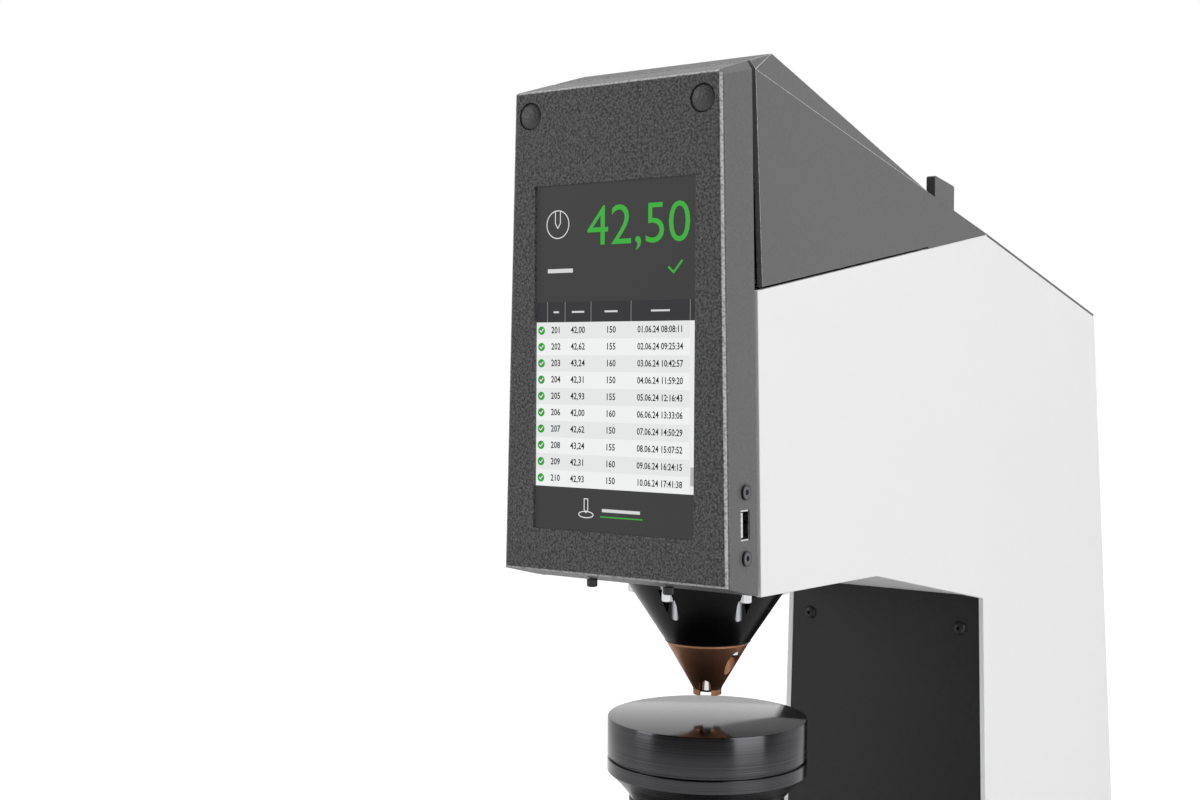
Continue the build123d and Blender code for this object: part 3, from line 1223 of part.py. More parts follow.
# ---- Mains inlet: flanged block with the plug's cavity and pins, and the switch's well ----
socket_spot = (INLET_X + SOCKET_X, 0)
switch_spot = (INLET_X + SWITCH_X, 0)
inlet_plane = rear_plane(PANEL_Z)
inlet_face = inlet_plane.offset(INLET_FLANGE)
well_half = ROCKER_R + GAP
with BuildPart() as mains_inlet:
    with BuildSketch(inlet_plane):
        with Locations(inlet_spot):
            RectangleRounded(INLET_WIDE, INLET_TALL, 3.0)
    extrude(amount=INLET_FLANGE)
    chamfer(mains_inlet.faces().sort_by(Axis.Y)[-1].edges(), 0.8)
    with BuildSketch(inlet_plane):
        with Locations(inlet_spot):
            Rectangle(INLET_WIDE - 2 * (INLET_LAP + RUN), INLET_TALL - 2 * (INLET_LAP + RUN))
    extrude(amount=-INLET_DEEP)
    with BuildSketch(inlet_face):
        with Locations(socket_spot):
            Rectangle(SOCKET_WIDE, SOCKET_TALL)
    extrude(amount=-SOCKET_DEEP, mode=Mode.SUBTRACT)
    with BuildSketch(inlet_face.offset(-PIN_SETBACK)):
        with Locations((socket_spot[0] - PIN_PITCH, -PIN_FALL), (socket_spot[0] + PIN_PITCH, -PIN_FALL)):
            Rectangle(PIN_WIDE, 2 * PIN_WIDE)
        with Locations((socket_spot[0], PIN_RISE)):
            Rectangle(PIN_WIDE, 2 * PIN_WIDE)
    extrude(amount=PIN_SETBACK - SOCKET_DEEP)
    with BuildSketch(inlet_face):
        with Locations(switch_spot):
            Rectangle(SWITCH_WIDE + 2 * GAP, 2 * well_half)
    extrude(amount=-ROCKER_PIVOT - ROCKER_R, mode=Mode.SUBTRACT)
    with BuildSketch(Plane(origin=inlet_face.from_local_coords((switch_spot[0], 0, -ROCKER_PIVOT)),
                           x_dir=inlet_face.y_dir, z_dir=inlet_face.x_dir)):
        Circle(ROCKER_PIN_R + RUN)
    extrude(amount=SWITCH_WIDE / 2 + PIN_REACH + GAP, both=True, mode=Mode.SUBTRACT)
finish(mains_inlet, "mains_inlet")

# ---- Power rocker: rounded about its pivot, stored with its upper half pressed in ----
pivot = inlet_face.from_local_coords((switch_spot[0], 0, -ROCKER_PIVOT))
rocker_up = inlet_face.y_dir.rotate(Axis((0, 0, 0), inlet_face.x_dir), -ROCKER_TILT)
rocker_side = Plane(origin=pivot, x_dir=rocker_up, z_dir=inlet_face.x_dir)
with BuildPart() as power_rocker:
    with BuildSketch(rocker_side):
        Circle(ROCKER_R)
        with BuildLine():
            Polyline(
                (-ROCKER_R, ROCKER_PIVOT + ROCKER_END_RISE),
                (0, ROCKER_PIVOT + ROCKER_MID_RISE),
                (ROCKER_R, ROCKER_PIVOT + ROCKER_END_RISE),
                (ROCKER_R, 2 * ROCKER_R),
                (-ROCKER_R, 2 * ROCKER_R),
                close=True,
            )
        make_face(mode=Mode.SUBTRACT)
        with Locations((0, -ROCKER_PIVOT)):
            Rectangle(3 * ROCKER_R, 2 * ROCKER_R, align=(Align.CENTER, Align.MAX), mode=Mode.SUBTRACT)
    extrude(amount=SWITCH_WIDE / 2, both=True)
    with BuildSketch(rocker_side):
        Circle(ROCKER_PIN_R)
    extrude(amount=SWITCH_WIDE / 2 + PIN_REACH, both=True)
finish(power_rocker, "power_rocker")

# ---- Network socket: metal shell with its cavity, through the rear cover ----
with BuildPart() as lan_socket:
    with BuildSketch(inlet_plane.offset(LAN_PROUD)):
        with Locations(lan_spot):
            Rectangle(LAN_WIDE - 2 * RUN, LAN_TALL - 2 * RUN)
    extrude(amount=-LAN_DEEP)
    with BuildSketch(inlet_plane.offset(-ROOF_WALL)):
        with Locations(lan_spot):
            Rectangle(LAN_WIDE + 2 * LAN_LAP, LAN_TALL + 2 * LAN_LAP)
            Rectangle(LAN_WIDE - LAN_LAP, LAN_TALL - LAN_LAP, mode=Mode.SUBTRACT)
    extrude(amount=-ROOF_WALL)
    with BuildSketch(inlet_plane.offset(LAN_PROUD)):
        with Locations(lan_spot):
            Rectangle(LAN_HOLE_WIDE, LAN_HOLE_TALL)
        with Locations((LAN_X, -LAN_HOLE_TALL / 2)):
            Rectangle(LAN_HOLE_WIDE / 2, LAN_LATCH)
    extrude(amount=2 * LAN_LAP - LAN_DEEP, mode=Mode.SUBTRACT)
finish(lan_socket, "lan_socket")

# ---- Power supply and motor driver: boxes on either side of the casting's web ----
with BuildPart() as power_supply:
    with Locations((FRAME_HALF_WEB, FACE_Y + COLUMN_DEPTH + SUPPLY_SETBACK, SUPPLY_Z)):
        Box(*SUPPLY_SIZE, align=(Align.MIN, Align.MIN, Align.MIN))
    fillet(power_supply.edges().filter_by(Axis.Z), 2.0)
finish(power_supply, "power_supply")
with BuildPart() as motor_driver:
    with Locations((-FRAME_HALF_WEB, *at(DRIVER_DEPTH, DRIVER_DROP))):
        Box(DRIVER_WALL, *DRIVER_SIZE[1:], align=(Align.MAX, Align.CENTER, Align.CENTER))
    with Locations((-FRAME_HALF_WEB - DRIVER_WALL, *at(DRIVER_DEPTH, DRIVER_DROP))):
        with Locations(Rotation(0, 90, 0)):
            with GridLocations(1, DRIVER_SIZE[1] / DRIVER_FINS, 1, DRIVER_FINS):
                Box(
                    DRIVER_SIZE[2],
                    DRIVER_FIN,
                    DRIVER_SIZE[0] - DRIVER_WALL,
                    align=(Align.CENTER, Align.CENTER, Align.MAX),
                )
finish(motor_driver, "motor_driver")


def turned_up(profile):
    """Turned piece on the test axis from (radius, height above the bench) points."""
    return turned([(radius, FACE_TOP - z) for radius, z in profile])


# ---- Bearing housing: flanged ring let into the casting's shelf ----
bearing_bore = NUT_R + GAP
with BuildPart() as bearing_housing:
    add(turned_up([
        (bearing_bore, shelf_z - BEARING_SPIGOT),
        (BEARING_SPIGOT_R, shelf_z - BEARING_SPIGOT),
        (BEARING_SPIGOT_R, shelf_z),
        (BEARING_R, shelf_z),
        (BEARING_R, bearing_top),
        (bearing_bore, bearing_top),
    ]))
    top_edges = bearing_housing.edges().filter_by(GeomType.CIRCLE).group_by(Axis.Z)[-1]
    chamfer(top_edges.sort_by(SortBy.RADIUS)[-1], BEARING_EDGE)
finish(bearing_housing, "bearing_housing")

# ---- Thrust bearing: two washers with the roller cage between them ----
with BuildPart() as thrust_bearing:
    add(turned_up([
        (bearing_bore + 1.0, bearing_top),
        (NUT_FLANGE_R - 1.0, bearing_top),
        (NUT_FLANGE_R - 1.0, bearing_top + THRUST_HEIGHT / 3),
        (NUT_FLANGE_R - 3.0, bearing_top + THRUST_HEIGHT / 3),
        (NUT_FLANGE_R - 3.0, bearing_top + 2 * THRUST_HEIGHT / 3),
        (NUT_FLANGE_R - 1.0, bearing_top + 2 * THRUST_HEIGHT / 3),
        (NUT_FLANGE_R - 1.0, bearing_top + THRUST_HEIGHT),
        (bearing_bore + 1.0, bearing_top + THRUST_HEIGHT),
    ]))
finish(thrust_bearing, "thrust_bearing")

# ---- Spindle nut: bronze, flange on the thrust bearing, sleeve down through the housing ----
with BuildPart() as spindle_nut:
    add(turned_up([
        (SPINDLE_R + RUN, nut_base - NUT_LENGTH),
        (NUT_R, nut_base - NUT_LENGTH),
        (NUT_R, nut_base),
        (NUT_FLANGE_R, nut_base),
        (NUT_FLANGE_R, nut_top),
        (SPINDLE_R + RUN, nut_top),
    ]))
finish(spindle_nut, "spindle_nut")

# ---- Handwheel: dished wheel with a lobed grip rim, bolted on the nut's flange ----
with BuildPart() as handwheel:
    add(turned_up([
        (WHEEL_HUB_R, nut_top),
        (WHEEL_HUB_R, wheel_top),
        (WHEEL_R - WHEEL_RIM - WHEEL_DISH, wheel_top),
        (WHEEL_R - WHEEL_RIM, wheel_top + WHEEL_LIP),
        (WHEEL_R - WHEEL_LIP, wheel_top + WHEEL_LIP),
        (WHEEL_R, wheel_top),
        (WHEEL_R, wheel_foot + WHEEL_LIP),
        (WHEEL_R - WHEEL_LIP, wheel_foot),
        (WHEEL_R - WHEEL_RIM, wheel_foot),
        (WHEEL_R - WHEEL_RIM - WHEEL_DISH, nut_top),
    ]))
    with BuildSketch(Plane.XY.offset(wheel_foot)):
        with Locations((0, TEST_Y)):
            scallop_pcr = WHEEL_R + SCALLOP_R - SCALLOP_BITE
            with PolarLocations(scallop_pcr, WHEEL_LOBES, start_angle=180 / WHEEL_LOBES):
                Circle(SCALLOP_R)
    extrude(amount=wheel_top + WHEEL_LIP - wheel_foot, mode=Mode.SUBTRACT)
finish(handwheel, "handwheel")

# ---- Bellows cup: ring on the wheel's hub round the foot of the bellows ----
cup_top = wheel_top + CUP_HEIGHT
with BuildPart() as bellows_cup:
    add(turned_up([
        (BELLOWS_BORE_R, wheel_top),
        (CUP_R, wheel_top),
        (CUP_R, cup_top - 1.0),
        (CUP_R - 1.0, cup_top),
        (CUP_R - CUP_WALL, cup_top),
        (CUP_R - CUP_WALL, wheel_top + CUP_FLOOR),
        (BELLOWS_BORE_R, wheel_top + CUP_FLOOR),
    ]))
finish(bellows_cup, "bellows_cup")


def flatted_circle(radius, flat, z, height):
    """Round bar with two flats on the test axis."""
    with BuildPart() as bar:
        with BuildSketch(Plane.XY.offset(z)):
            with Locations((0, TEST_Y)):
                Circle(radius)
                Rectangle(2 * flat, 3 * radius, mode=Mode.INTERSECT)
        extrude(amount=height)
    return bar.part


# ---- Guide rod: flatted bar on the base plate that keeps the screw from turning ----
guide_seat = frame_foot + GUIDE_FLANGE
with BuildPart() as guide_rod:
    with Locations((0, TEST_Y, frame_foot)):
        Cylinder(GUIDE_FLANGE_R, GUIDE_FLANGE, align=(Align.CENTER, Align.CENTER, Align.MIN))
    add(flatted_circle(SPINDLE_BORE_R, GUIDE_FLAT, guide_seat, GUIDE_TOP - guide_seat))
finish(guide_rod, "guide_rod")

# ---- Elevating screw: hollow from below for the guide rod, flanged head with the anvil's socket ----
with BuildPart() as elevating_screw:
    add(turned_up([
        (0, SPINDLE_FOOT),
        (SPINDLE_R - 1.0, SPINDLE_FOOT),
        (SPINDLE_R, SPINDLE_FOOT + 1.0),
        (SPINDLE_R, anvil_foot - SPINDLE_HEAD),
        (SPINDLE_HEAD_R, anvil_foot - SPINDLE_HEAD),
        (SPINDLE_HEAD_R, anvil_foot),
        (0, anvil_foot),
    ]))
    add(
        flatted_circle(
            SPINDLE_BORE_R + RUN,
            GUIDE_FLAT + RUN,
            SPINDLE_FOOT,
            GUIDE_TOP + ANVIL_DOWN + GUIDE_SPARE - SPINDLE_FOOT,
        ),
        mode=Mode.SUBTRACT,
    )
    with Locations((0, TEST_Y, anvil_foot)):
        Hole(radius=ANVIL_STEM_R + RUN, depth=ANVIL_STEM + 1.0)
finish(elevating_screw, "elevating_screw")

# ---- Anvil: ground steel table with a grooved rim, coned neck and a stem in the screw's head ----
groove_top = anvil_top - ANVIL_RIM
groove_foot = groove_top - ANVIL_GROOVE
band_foot = groove_foot - ANVIL_BAND
shoulder_z = band_foot - ANVIL_CONE
neck_z = shoulder_z - ANVIL_STEP
with BuildPart() as anvil:
    add(turned_up([
        (0, anvil_top),
        (ANVIL_R - ANVIL_EDGE, anvil_top),
        (ANVIL_R, anvil_top - ANVIL_EDGE),
        (ANVIL_R, groove_top),
        (ANVIL_R - GROOVE_DEPTH, groove_top - ANVIL_GROOVE / 5),
        (ANVIL_R - GROOVE_DEPTH, groove_foot + ANVIL_GROOVE / 5),
        (ANVIL_R, groove_foot),
        (ANVIL_R, band_foot),
        (ANVIL_R - ANVIL_CONE_IN, shoulder_z),
        (ANVIL_NECK_R + 0.9, neck_z),
        (ANVIL_NECK_R, anvil_foot),
        (ANVIL_STEM_R, anvil_foot),
        (ANVIL_STEM_R, anvil_foot - ANVIL_STEM + 1.0),
        (ANVIL_STEM_R - 1.0, anvil_foot - ANVIL_STEM),
        (0, anvil_foot - ANVIL_STEM),
    ]))
finish(anvil, "anvil")

# ---- Bellows: folded rubber sleeve from the anvil's neck down into the cup ----
bellows_foot = wheel_top + CUP_FLOOR + GAP
collar_z = bellows_foot + BELLOWS_COLLAR
fold_top = anvil_foot - BELLOWS_COLLAR
pitch = (fold_top - collar_z) / BELLOWS_FOLDS
fold_points = [(BELLOWS_R, collar_z)]
for fold in range(BELLOWS_FOLDS):
    fold_points.append((BELLOWS_ROOT_R, collar_z + (fold + 0.5) * pitch))
    fold_points.append((BELLOWS_R, collar_z + (fold + 1) * pitch))
with BuildPart() as bellows:
    add(turned_up([
        (BELLOWS_BORE_R, bellows_foot),
        (BELLOWS_R, bellows_foot),
        *fold_points,
        (ANVIL_NECK_R, anvil_foot),
        (SPINDLE_HEAD_R + RUN, anvil_foot),
        (SPINDLE_HEAD_R + RUN, anvil_foot - SPINDLE_HEAD),
        (BELLOWS_BORE_R, anvil_foot - SPINDLE_HEAD),
    ]))
finish(bellows, "bellows")
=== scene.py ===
# Bench hardness tester, put together as on the workshop floor: casting, load unit and nose,
# elevating unit, covers, rear connectors, and last the front housing with its display and board.
# Metres. x to the right, y to the back, z up, with the origin on the bench under the machine.
import json
from math import atan2, cos, inf, pi, radians, sin, tau

import bmesh
import bpy
from mathutils import Matrix, Vector

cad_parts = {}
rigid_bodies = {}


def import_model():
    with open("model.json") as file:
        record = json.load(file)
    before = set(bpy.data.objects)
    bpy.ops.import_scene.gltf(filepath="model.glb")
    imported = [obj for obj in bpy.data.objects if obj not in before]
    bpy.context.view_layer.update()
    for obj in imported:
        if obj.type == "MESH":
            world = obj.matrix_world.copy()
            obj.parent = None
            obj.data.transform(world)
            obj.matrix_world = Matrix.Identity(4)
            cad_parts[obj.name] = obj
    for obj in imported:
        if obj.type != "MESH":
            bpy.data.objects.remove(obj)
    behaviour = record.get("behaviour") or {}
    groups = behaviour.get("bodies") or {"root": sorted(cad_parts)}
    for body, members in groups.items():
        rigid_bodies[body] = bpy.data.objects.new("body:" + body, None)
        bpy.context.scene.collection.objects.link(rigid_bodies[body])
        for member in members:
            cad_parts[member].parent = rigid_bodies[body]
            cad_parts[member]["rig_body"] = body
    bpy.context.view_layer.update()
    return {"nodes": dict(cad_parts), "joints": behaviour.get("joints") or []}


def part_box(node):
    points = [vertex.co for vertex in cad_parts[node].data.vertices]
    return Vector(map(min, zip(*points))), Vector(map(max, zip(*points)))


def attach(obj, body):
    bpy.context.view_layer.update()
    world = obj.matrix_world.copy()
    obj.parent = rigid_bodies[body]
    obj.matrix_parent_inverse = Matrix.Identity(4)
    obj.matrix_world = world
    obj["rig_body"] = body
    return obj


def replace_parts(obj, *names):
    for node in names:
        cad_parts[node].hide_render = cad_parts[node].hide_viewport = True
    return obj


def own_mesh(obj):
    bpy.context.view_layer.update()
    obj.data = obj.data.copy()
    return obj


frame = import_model()


# ---- C-frame casting ----
# Iron casting that carries everything else: a C with flanges round a thin web. It is sand cast,
# machined on its faces and painted a matt grey, so the sand's texture shows through the paint.
class Shade:
    """One socket of a finish's nodes. Shades add, scale and compare like plain numbers."""

    def __init__(self, tree, socket=None):
        self.tree = tree
        self.socket = socket

    def node(self, kind, settings=None, sockets=None, output=0):
        """Adds a node of a kind, sets it up, feeds its sockets and gives one of its outputs."""
        added = self.tree.nodes.new("ShaderNode" + kind)
        for key, value in (settings or {}).items():
            setattr(added, key, value)
        for key, value in (sockets or {}).items():
            if isinstance(value, Shade):
                self.tree.links.new(value.socket, added.inputs[key])
            else:
                added.inputs[key].default_value = value
        return Shade(self.tree, added.outputs[output])

    def maths(self, operation, first, second=0):
        return self.node("Math", {"operation": operation}, {0: first, 1: second})

    def __add__(self, other):
        return self.maths("ADD", self, other)

    def __sub__(self, other):
        return self.maths("SUBTRACT", self, other)

    def __rsub__(self, other):
        return self.maths("SUBTRACT", other, self)

    def __mul__(self, other):
        return self.maths("MULTIPLY", self, other)

    def __abs__(self):
        return self.maths("ABSOLUTE", self)

    def __gt__(self, other):
        return self.maths("GREATER_THAN", self, other)

    def __lt__(self, other):
        return self.maths("LESS_THAN", self, other)

    __radd__ = __add__
    __rmul__ = __mul__

    def reach(self, other):
        """Straight distance that two offsets at right angles make."""
        return self.maths("SQRT", self * self + other * other)

    def spread(self, low, high, to_low=0.0, to_high=1.0):
        """Carries the shade smoothly from one range to another and stops at its ends."""
        stops = {"From Min": low, "From Max": high, "To Min": to_low, "To Max": to_high}
        return self.node("MapRange", {"interpolation_type": "SMOOTHSTEP"}, {"Value": self, **stops})

    def between(self, low, high):
        """Blends two colours, with the shade as the share of the second."""
        return self.node("Mix", {"data_type": "RGBA"}, {0: self, 6: low, 7: high}, output=2)

    def relief(self, distance):
        """Normal of a surface whose height is the shade times a distance."""
        return self.node("Bump", None, {"Height": self, "Distance": distance})

    def of(self, output):
        """Another output of the node that gave this shade."""
        return Shade(self.tree, self.socket.node.outputs[output])

    def split(self):
        """The three numbers of a place or a direction."""
        x = self.node("SeparateXYZ", None, {"Vector": self})
        return x, x.of("Y"), x.of("Z")

    def place(self):
        """Position on the machine."""
        return self.node("TexCoord", output="Object")

    def facing(self):
        """Outward normal of the surface, as three numbers."""
        return self.node("TexCoord", output="Normal").split()

    def cloud(self, scale, detail=3.0, stretch=(1, 1, 1)):
        """Noise with about this many features a metre, stretched along the axes if asked."""
        spot = self.node("Mapping", None, {"Vector": self.place(), "Scale": stretch})
        return self.node("TexNoise", None, {"Vector": spot, "Scale": scale, "Detail": detail})

    def cells(self, scale, feature="F1"):
        """Distance to the nearest of scattered points, about this many a metre."""
        return self.node("TexVoronoi", {"feature": feature}, {"Vector": self.place(), "Scale": scale})


def colour(code):
    """Linear colour of a hexadecimal paint code."""
    parts = [int(code[i:i + 2], 16) / 255 for i in (0, 2, 4)]
    return (*[p / 12.92 if p < 0.04045 else ((p + 0.055) / 1.055) ** 2.4 for p in parts], 1.0)


def finish(name, constants, look):
    """Material with its constant sockets set, and the sockets that vary taken from look."""
    material = bpy.data.materials.new(name)
    material.use_nodes = True
    surface = material.node_tree.nodes["Principled BSDF"]
    for key, value in constants.items():
        surface.inputs[key].default_value = value
    for key, shade in look(Shade(material.node_tree)).items():
        material.node_tree.links.new(shade.socket, surface.inputs[key])
    return material


def dress(material, *nodes):
    """Gives carried-over pieces their finish."""
    for node in nodes:
        for slot in frame["nodes"][node].material_slots:
            slot.material = material


def cast_look(start):
    sand = start.cloud(700, 4)
    grime = start.cloud(14, 5)
    return {
        "Base Color": grime.between(colour("4E5052"), colour("626466")),
        "Roughness": grime.spread(0.3, 0.7, 0.5, 0.68),
        "Normal": (sand + start.cells(420) * 0.6).relief(0.0004),
    }


dress(finish("casting paint", {}, cast_look), "frame_casting")

# ---- Load unit ----
# Behind the display a stepper drives a ball screw through a toothed belt. The screw moves a
# bracket on a rail, with the load cell, the quill and the indenter. Ground steel and aluminium.
anvil_low, anvil_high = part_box("anvil")
axis_y = (anvil_low[1] + anvil_high[1]) / 2


def about_axis(start):
    """Where a point lies about the test axis: across, along, distance and height."""
    across, y, height = start.place().split()
    along = y - axis_y
    return across, along, across.reach(along), height


def rings(start, scale, detail=2.0):
    """Noise that is the same all the way round the test axis, as tool marks on turned work are."""
    _, _, radius, height = about_axis(start)
    spot = start.node("CombineXYZ", None, {"X": radius, "Y": height})
    return start.node("TexNoise", None, {"Vector": spot, "Scale": scale, "Detail": detail})


def turned_metal(name, dark, light, rough, cut):
    """Bright turned metal: colour range, roughness and the depth of the tool marks."""

    def look(start):
        marks = rings(start, 2600)
        handling = start.cloud(45, 4)
        return {
            "Base Color": handling.between(colour(dark), colour(light)),
            "Roughness": marks.spread(0.3, 0.7, rough * 0.8, rough * 1.3),
            "Normal": marks.relief(cut),
        }

    return finish(name, {"Metallic": 1.0}, look)


def sheet_metal(name, dark, light, rough, stretch):
    """Ground or rolled metal whose grain runs along one axis."""

    def look(start):
        grain = start.cloud(900, 3, stretch)
        return {
            "Base Color": start.cloud(25, 4).between(colour(dark), colour(light)),
            "Roughness": grain.spread(0.3, 0.7, rough * 0.75, rough * 1.3),
            "Normal": grain.relief(0.00004),
        }

    return finish(name, {"Metallic": 1.0}, look)


ground_steel = turned_metal("ground steel", "8A8B8E", "A6A7AA", 0.22, 0.00002)
milled_aluminium = sheet_metal("milled aluminium", "A9ABAE", "C3C5C8", 0.36, (1, 1, 0.06))
bearing_bronze = turned_metal("bearing bronze", "9A7440", "B78C52", 0.28, 0.00003)
dress(ground_steel, "quill", "load_cell", "ball_nut", "ball_screw", "screw_bearing")
dress(ground_steel, "linear_rail", "rail_carriage")
dress(milled_aluminium, "load_bracket", "drive_plate", "screw_pulley", "motor_pulley")
dress(bearing_bronze, "guide_bush")


def rubber_look(start):
    bloom = start.cloud(60, 5)
    return {
        "Base Color": bloom.between(colour("17171A"), colour("262628")),
        "Roughness": bloom.spread(0.3, 0.7, 0.55, 0.75),
        "Normal": start.cloud(1600, 2).relief(0.00006),
    }


moulded_rubber = finish("moulded rubber", {"Specular IOR Level": 0.35}, rubber_look)
dress(moulded_rubber, "toothed_belt")


def enamel_look(start):
    peel = start.cloud(350, 2)
    return {
        "Base Color": start.cloud(20, 4).between(colour("1C1C1E"), colour("28282A")),
        "Roughness": peel.spread(0.3, 0.7, 0.3, 0.42),
        "Normal": peel.relief(0.00012),
    }


black_enamel = finish("black enamel", {}, enamel_look)
dress(black_enamel, "load_motor")

# ---- Head plate and nose cone ----
# Enamelled steel plate under the casting. The nose cone is turned from steel, blackened and
# polished, and hangs from the plate on six socket screws that stand in pockets milled up its
# cone, whose walls are left bare, each coloured with a painted highlight down its middle that
# darkens towards its sides.
POCKETS = 6
POCKET_STEP = tau / POCKETS
FIRST_POCKET = radians(-89)
POCKET_PCR = 0.0324
POCKET_R = 0.0035
WALL_SLACK = 0.00003


def pocket_mask(start):
    """1 on the walls of the pockets milled up the cone, 0 elsewhere, and how far aside they are."""
    across, along, radius, _ = about_axis(start)
    bearing = start.maths("ARCTAN2", along, across) - FIRST_POCKET + POCKET_STEP / 2
    turn = start.maths("FLOORED_MODULO", bearing, POCKET_STEP) - POCKET_STEP / 2
    aside = radius * start.maths("SINE", turn)
    inward = start.maths("MINIMUM", radius * start.maths("COSINE", turn) - POCKET_PCR, 0.0)
    return aside.reach(inward) < POCKET_R + WALL_SLACK, aside


def blackened_look(start):
    marks = rings(start, 1500)
    black = start.cloud(120, 5).spread(0.62, 0.8).between(colour("050506"), colour("101011"))
    bare, aside = pocket_mask(start)
    # Painted highlight: each pocket wall is coloured bright down its middle and dark towards its
    # sides.
    painted_highlight = abs(aside).spread(0.0002, 0.0021, 1.0, 0.0)
    milled = painted_highlight.between(colour("232325"), colour("BDBEC1"))
    return {
        "Base Color": bare.between(black, milled),
        "Metallic": bare,
        "Roughness": marks.spread(0.25, 0.75, 0.18, 0.26) - bare * 0.1,
        "Normal": marks.relief(0.000002),
    }


dress(black_enamel, "head_plate")
dress(finish("blackened steel", {"Specular IOR Level": 0.1}, blackened_look), "nose_cone")

# ---- Nose screws ----
# Cheese-head socket screws, bright plated, with a rolled knurl round the head and a deep socket.
# One mesh holds all six, seated up in the nose cone's pockets.
SCREW_R = 0.00285
SCREW_HEAD = 0.005
SCREW_RING_R = 0.0356
KNURLS = 32
KNURL_ROOT = 0.965
screw_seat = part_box("nose_screws")[0][2] + SCREW_HEAD
# Chamfer, face and socket: inset in head radii, then the cap's rise in head heights.
HEAD_STEPS = ((0.1, -0.1), (0.36, 0.0), (0.03, 0.62))


def plated_look(start):
    wear = start.cloud(400, 4)
    return {
        "Base Color": wear.between(colour("CFD0D3"), colour("EEEFF1")),
        "Roughness": wear.spread(0.3, 0.7, 0.08, 0.2),
        "Normal": start.cloud(1800, 2).relief(0.00001),
    }


bright_plate = finish("bright plate", {"Metallic": 1.0}, plated_look)


def made(build, name, material, body="root", sharp=30):
    """Turns a finished bmesh into a piece that rides on a body."""
    mesh = bpy.data.meshes.new(name)
    build.to_mesh(mesh)
    build.free()
    mesh.materials.append(material)
    for face in mesh.polygons:
        face.use_smooth = True
    mesh.set_sharp_from_angle(angle=radians(sharp))
    piece = bpy.data.objects.new(name, mesh)
    bpy.context.scene.collection.objects.link(piece)
    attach(piece, body)
    return piece


def socket_head(build, where):
    """Screw head that hangs from where, with a knurl, a chamfered rim and a socket."""
    rim = bmesh.ops.create_circle(build, cap_ends=True, radius=SCREW_R, segments=KNURLS * 2)["verts"]
    for root in rim[1::2]:
        root.co *= KNURL_ROOT
    side = bmesh.ops.extrude_face_region(build, geom=[rim[0].link_faces[0]])["geom"]
    under = [v for v in side if isinstance(v, bmesh.types.BMVert)]
    bmesh.ops.translate(build, vec=(0, 0, -SCREW_HEAD), verts=under)
    cap = [f for f in side if isinstance(f, bmesh.types.BMFace)][0]
    for inset, rise in HEAD_STEPS:
        bmesh.ops.inset_individual(build, faces=[cap], thickness=inset * SCREW_R, depth=0)
        bmesh.ops.translate(build, vec=(0, 0, rise * SCREW_HEAD), verts=cap.verts)
    head = [v for v in build.verts if not v.tag]
    bmesh.ops.translate(build, vec=where, verts=head)
    for vert in head:
        vert.tag = True


heads = bmesh.new()
for k in range(POCKETS):
    turn = FIRST_POCKET + k * POCKET_STEP
    socket_head(heads, (SCREW_RING_R * cos(turn), axis_y + SCREW_RING_R * sin(turn), screw_seat))
bmesh.ops.recalc_face_normals(heads, faces=heads.faces)
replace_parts(made(heads, "nose_screw_heads", bright_plate, sharp=25), "nose_screws")


# ---- Nose tip, its clamp screws and the indenter ----
# The tip is bronze, turned to a satin cone, and two plated screws in slanted pockets clamp it. A
# slot across its end shows the indenter: a bright steel holder with a diamond cone set in it.
def satin_look(start):
    tint = start.cloud(70, 4)
    return {
        "Base Color": tint.between(colour("8A6049"), colour("A0745B")),
        "Roughness": rings(start, 2600).spread(0.25, 0.75, 0.36, 0.4),
        "Normal": start.cloud(2400, 2).relief(0.000003),
    }


dress(finish("satin bronze", {"Metallic": 1.0}, satin_look), "nose_tip")
dress(bright_plate, "indenter", "tip_screws")
dress(black_enamel, "head_screws")

# ---- Elevating unit ----
# A bronze nut turns on a thrust bearing in the casting's shelf and lifts the steel screw, which
# a flatted rod inside it keeps from turning.
dress(ground_steel, "bearing_housing", "thrust_bearing", "elevating_screw", "guide_rod")
dress(bearing_bronze, "spindle_nut")


# ---- Handwheel and bellows cup ----
# Grip wheel moulded in black with a fine spark-eroded grain, and held on the nut's flange by
# black dome screws. The cup on its hub is turned aluminium, anodised black, and holds the
# foot of the bellows.
def grip_look(start):
    grain = start.cells(1500)
    return {
        "Base Color": start.cloud(30, 4).between(colour("1A1A1C"), colour("252527")),
        "Roughness": grain.spread(0.2, 0.7, 0.42, 0.56),
        "Normal": grain.relief(0.00008),
    }


dress(finish("grip moulding", {"Specular IOR Level": 0.4}, grip_look), "handwheel")
dress(turned_metal("black anodised", "17181A", "232426", 0.34, 0.00003), "bellows_cup")


def oxide_look(start):
    wear = start.cloud(500, 4)
    return {
        "Base Color": wear.between(colour("1B1B1D"), colour("343437")),
        "Roughness": wear.spread(0.3, 0.7, 0.3, 0.45),
        "Normal": wear.relief(0.00001),
    }


black_oxide = finish("black oxide", {"Metallic": 0.6}, oxide_look)
SCREW_SIDES = 32
CROWN = 0.9
SOCKET_RIM = 0.88
# The socket in a dome of radius and height 1: its lip, wall and floor, as (depth, radius).
SOCKET_STEPS = ((0.0, 0.32), (0.55, 0.30), (0.55, 0.01))


def half_ball(build, sides, top=inf):
    """Upper half of a ball of radius 1, open above a height if asked; gives its vertices."""
    steps = {"u_segments": sides, "v_segments": sides // 2}
    ball = bmesh.ops.create_uvsphere(build, radius=1.0, **steps)["verts"]
    # The equator's own ring stays.
    cut = [v for v in ball if v.co.z < -0.01 or v.co.z > top]
    bmesh.ops.delete(build, geom=cut, context="VERTS")
    return [v for v in ball if v.is_valid]


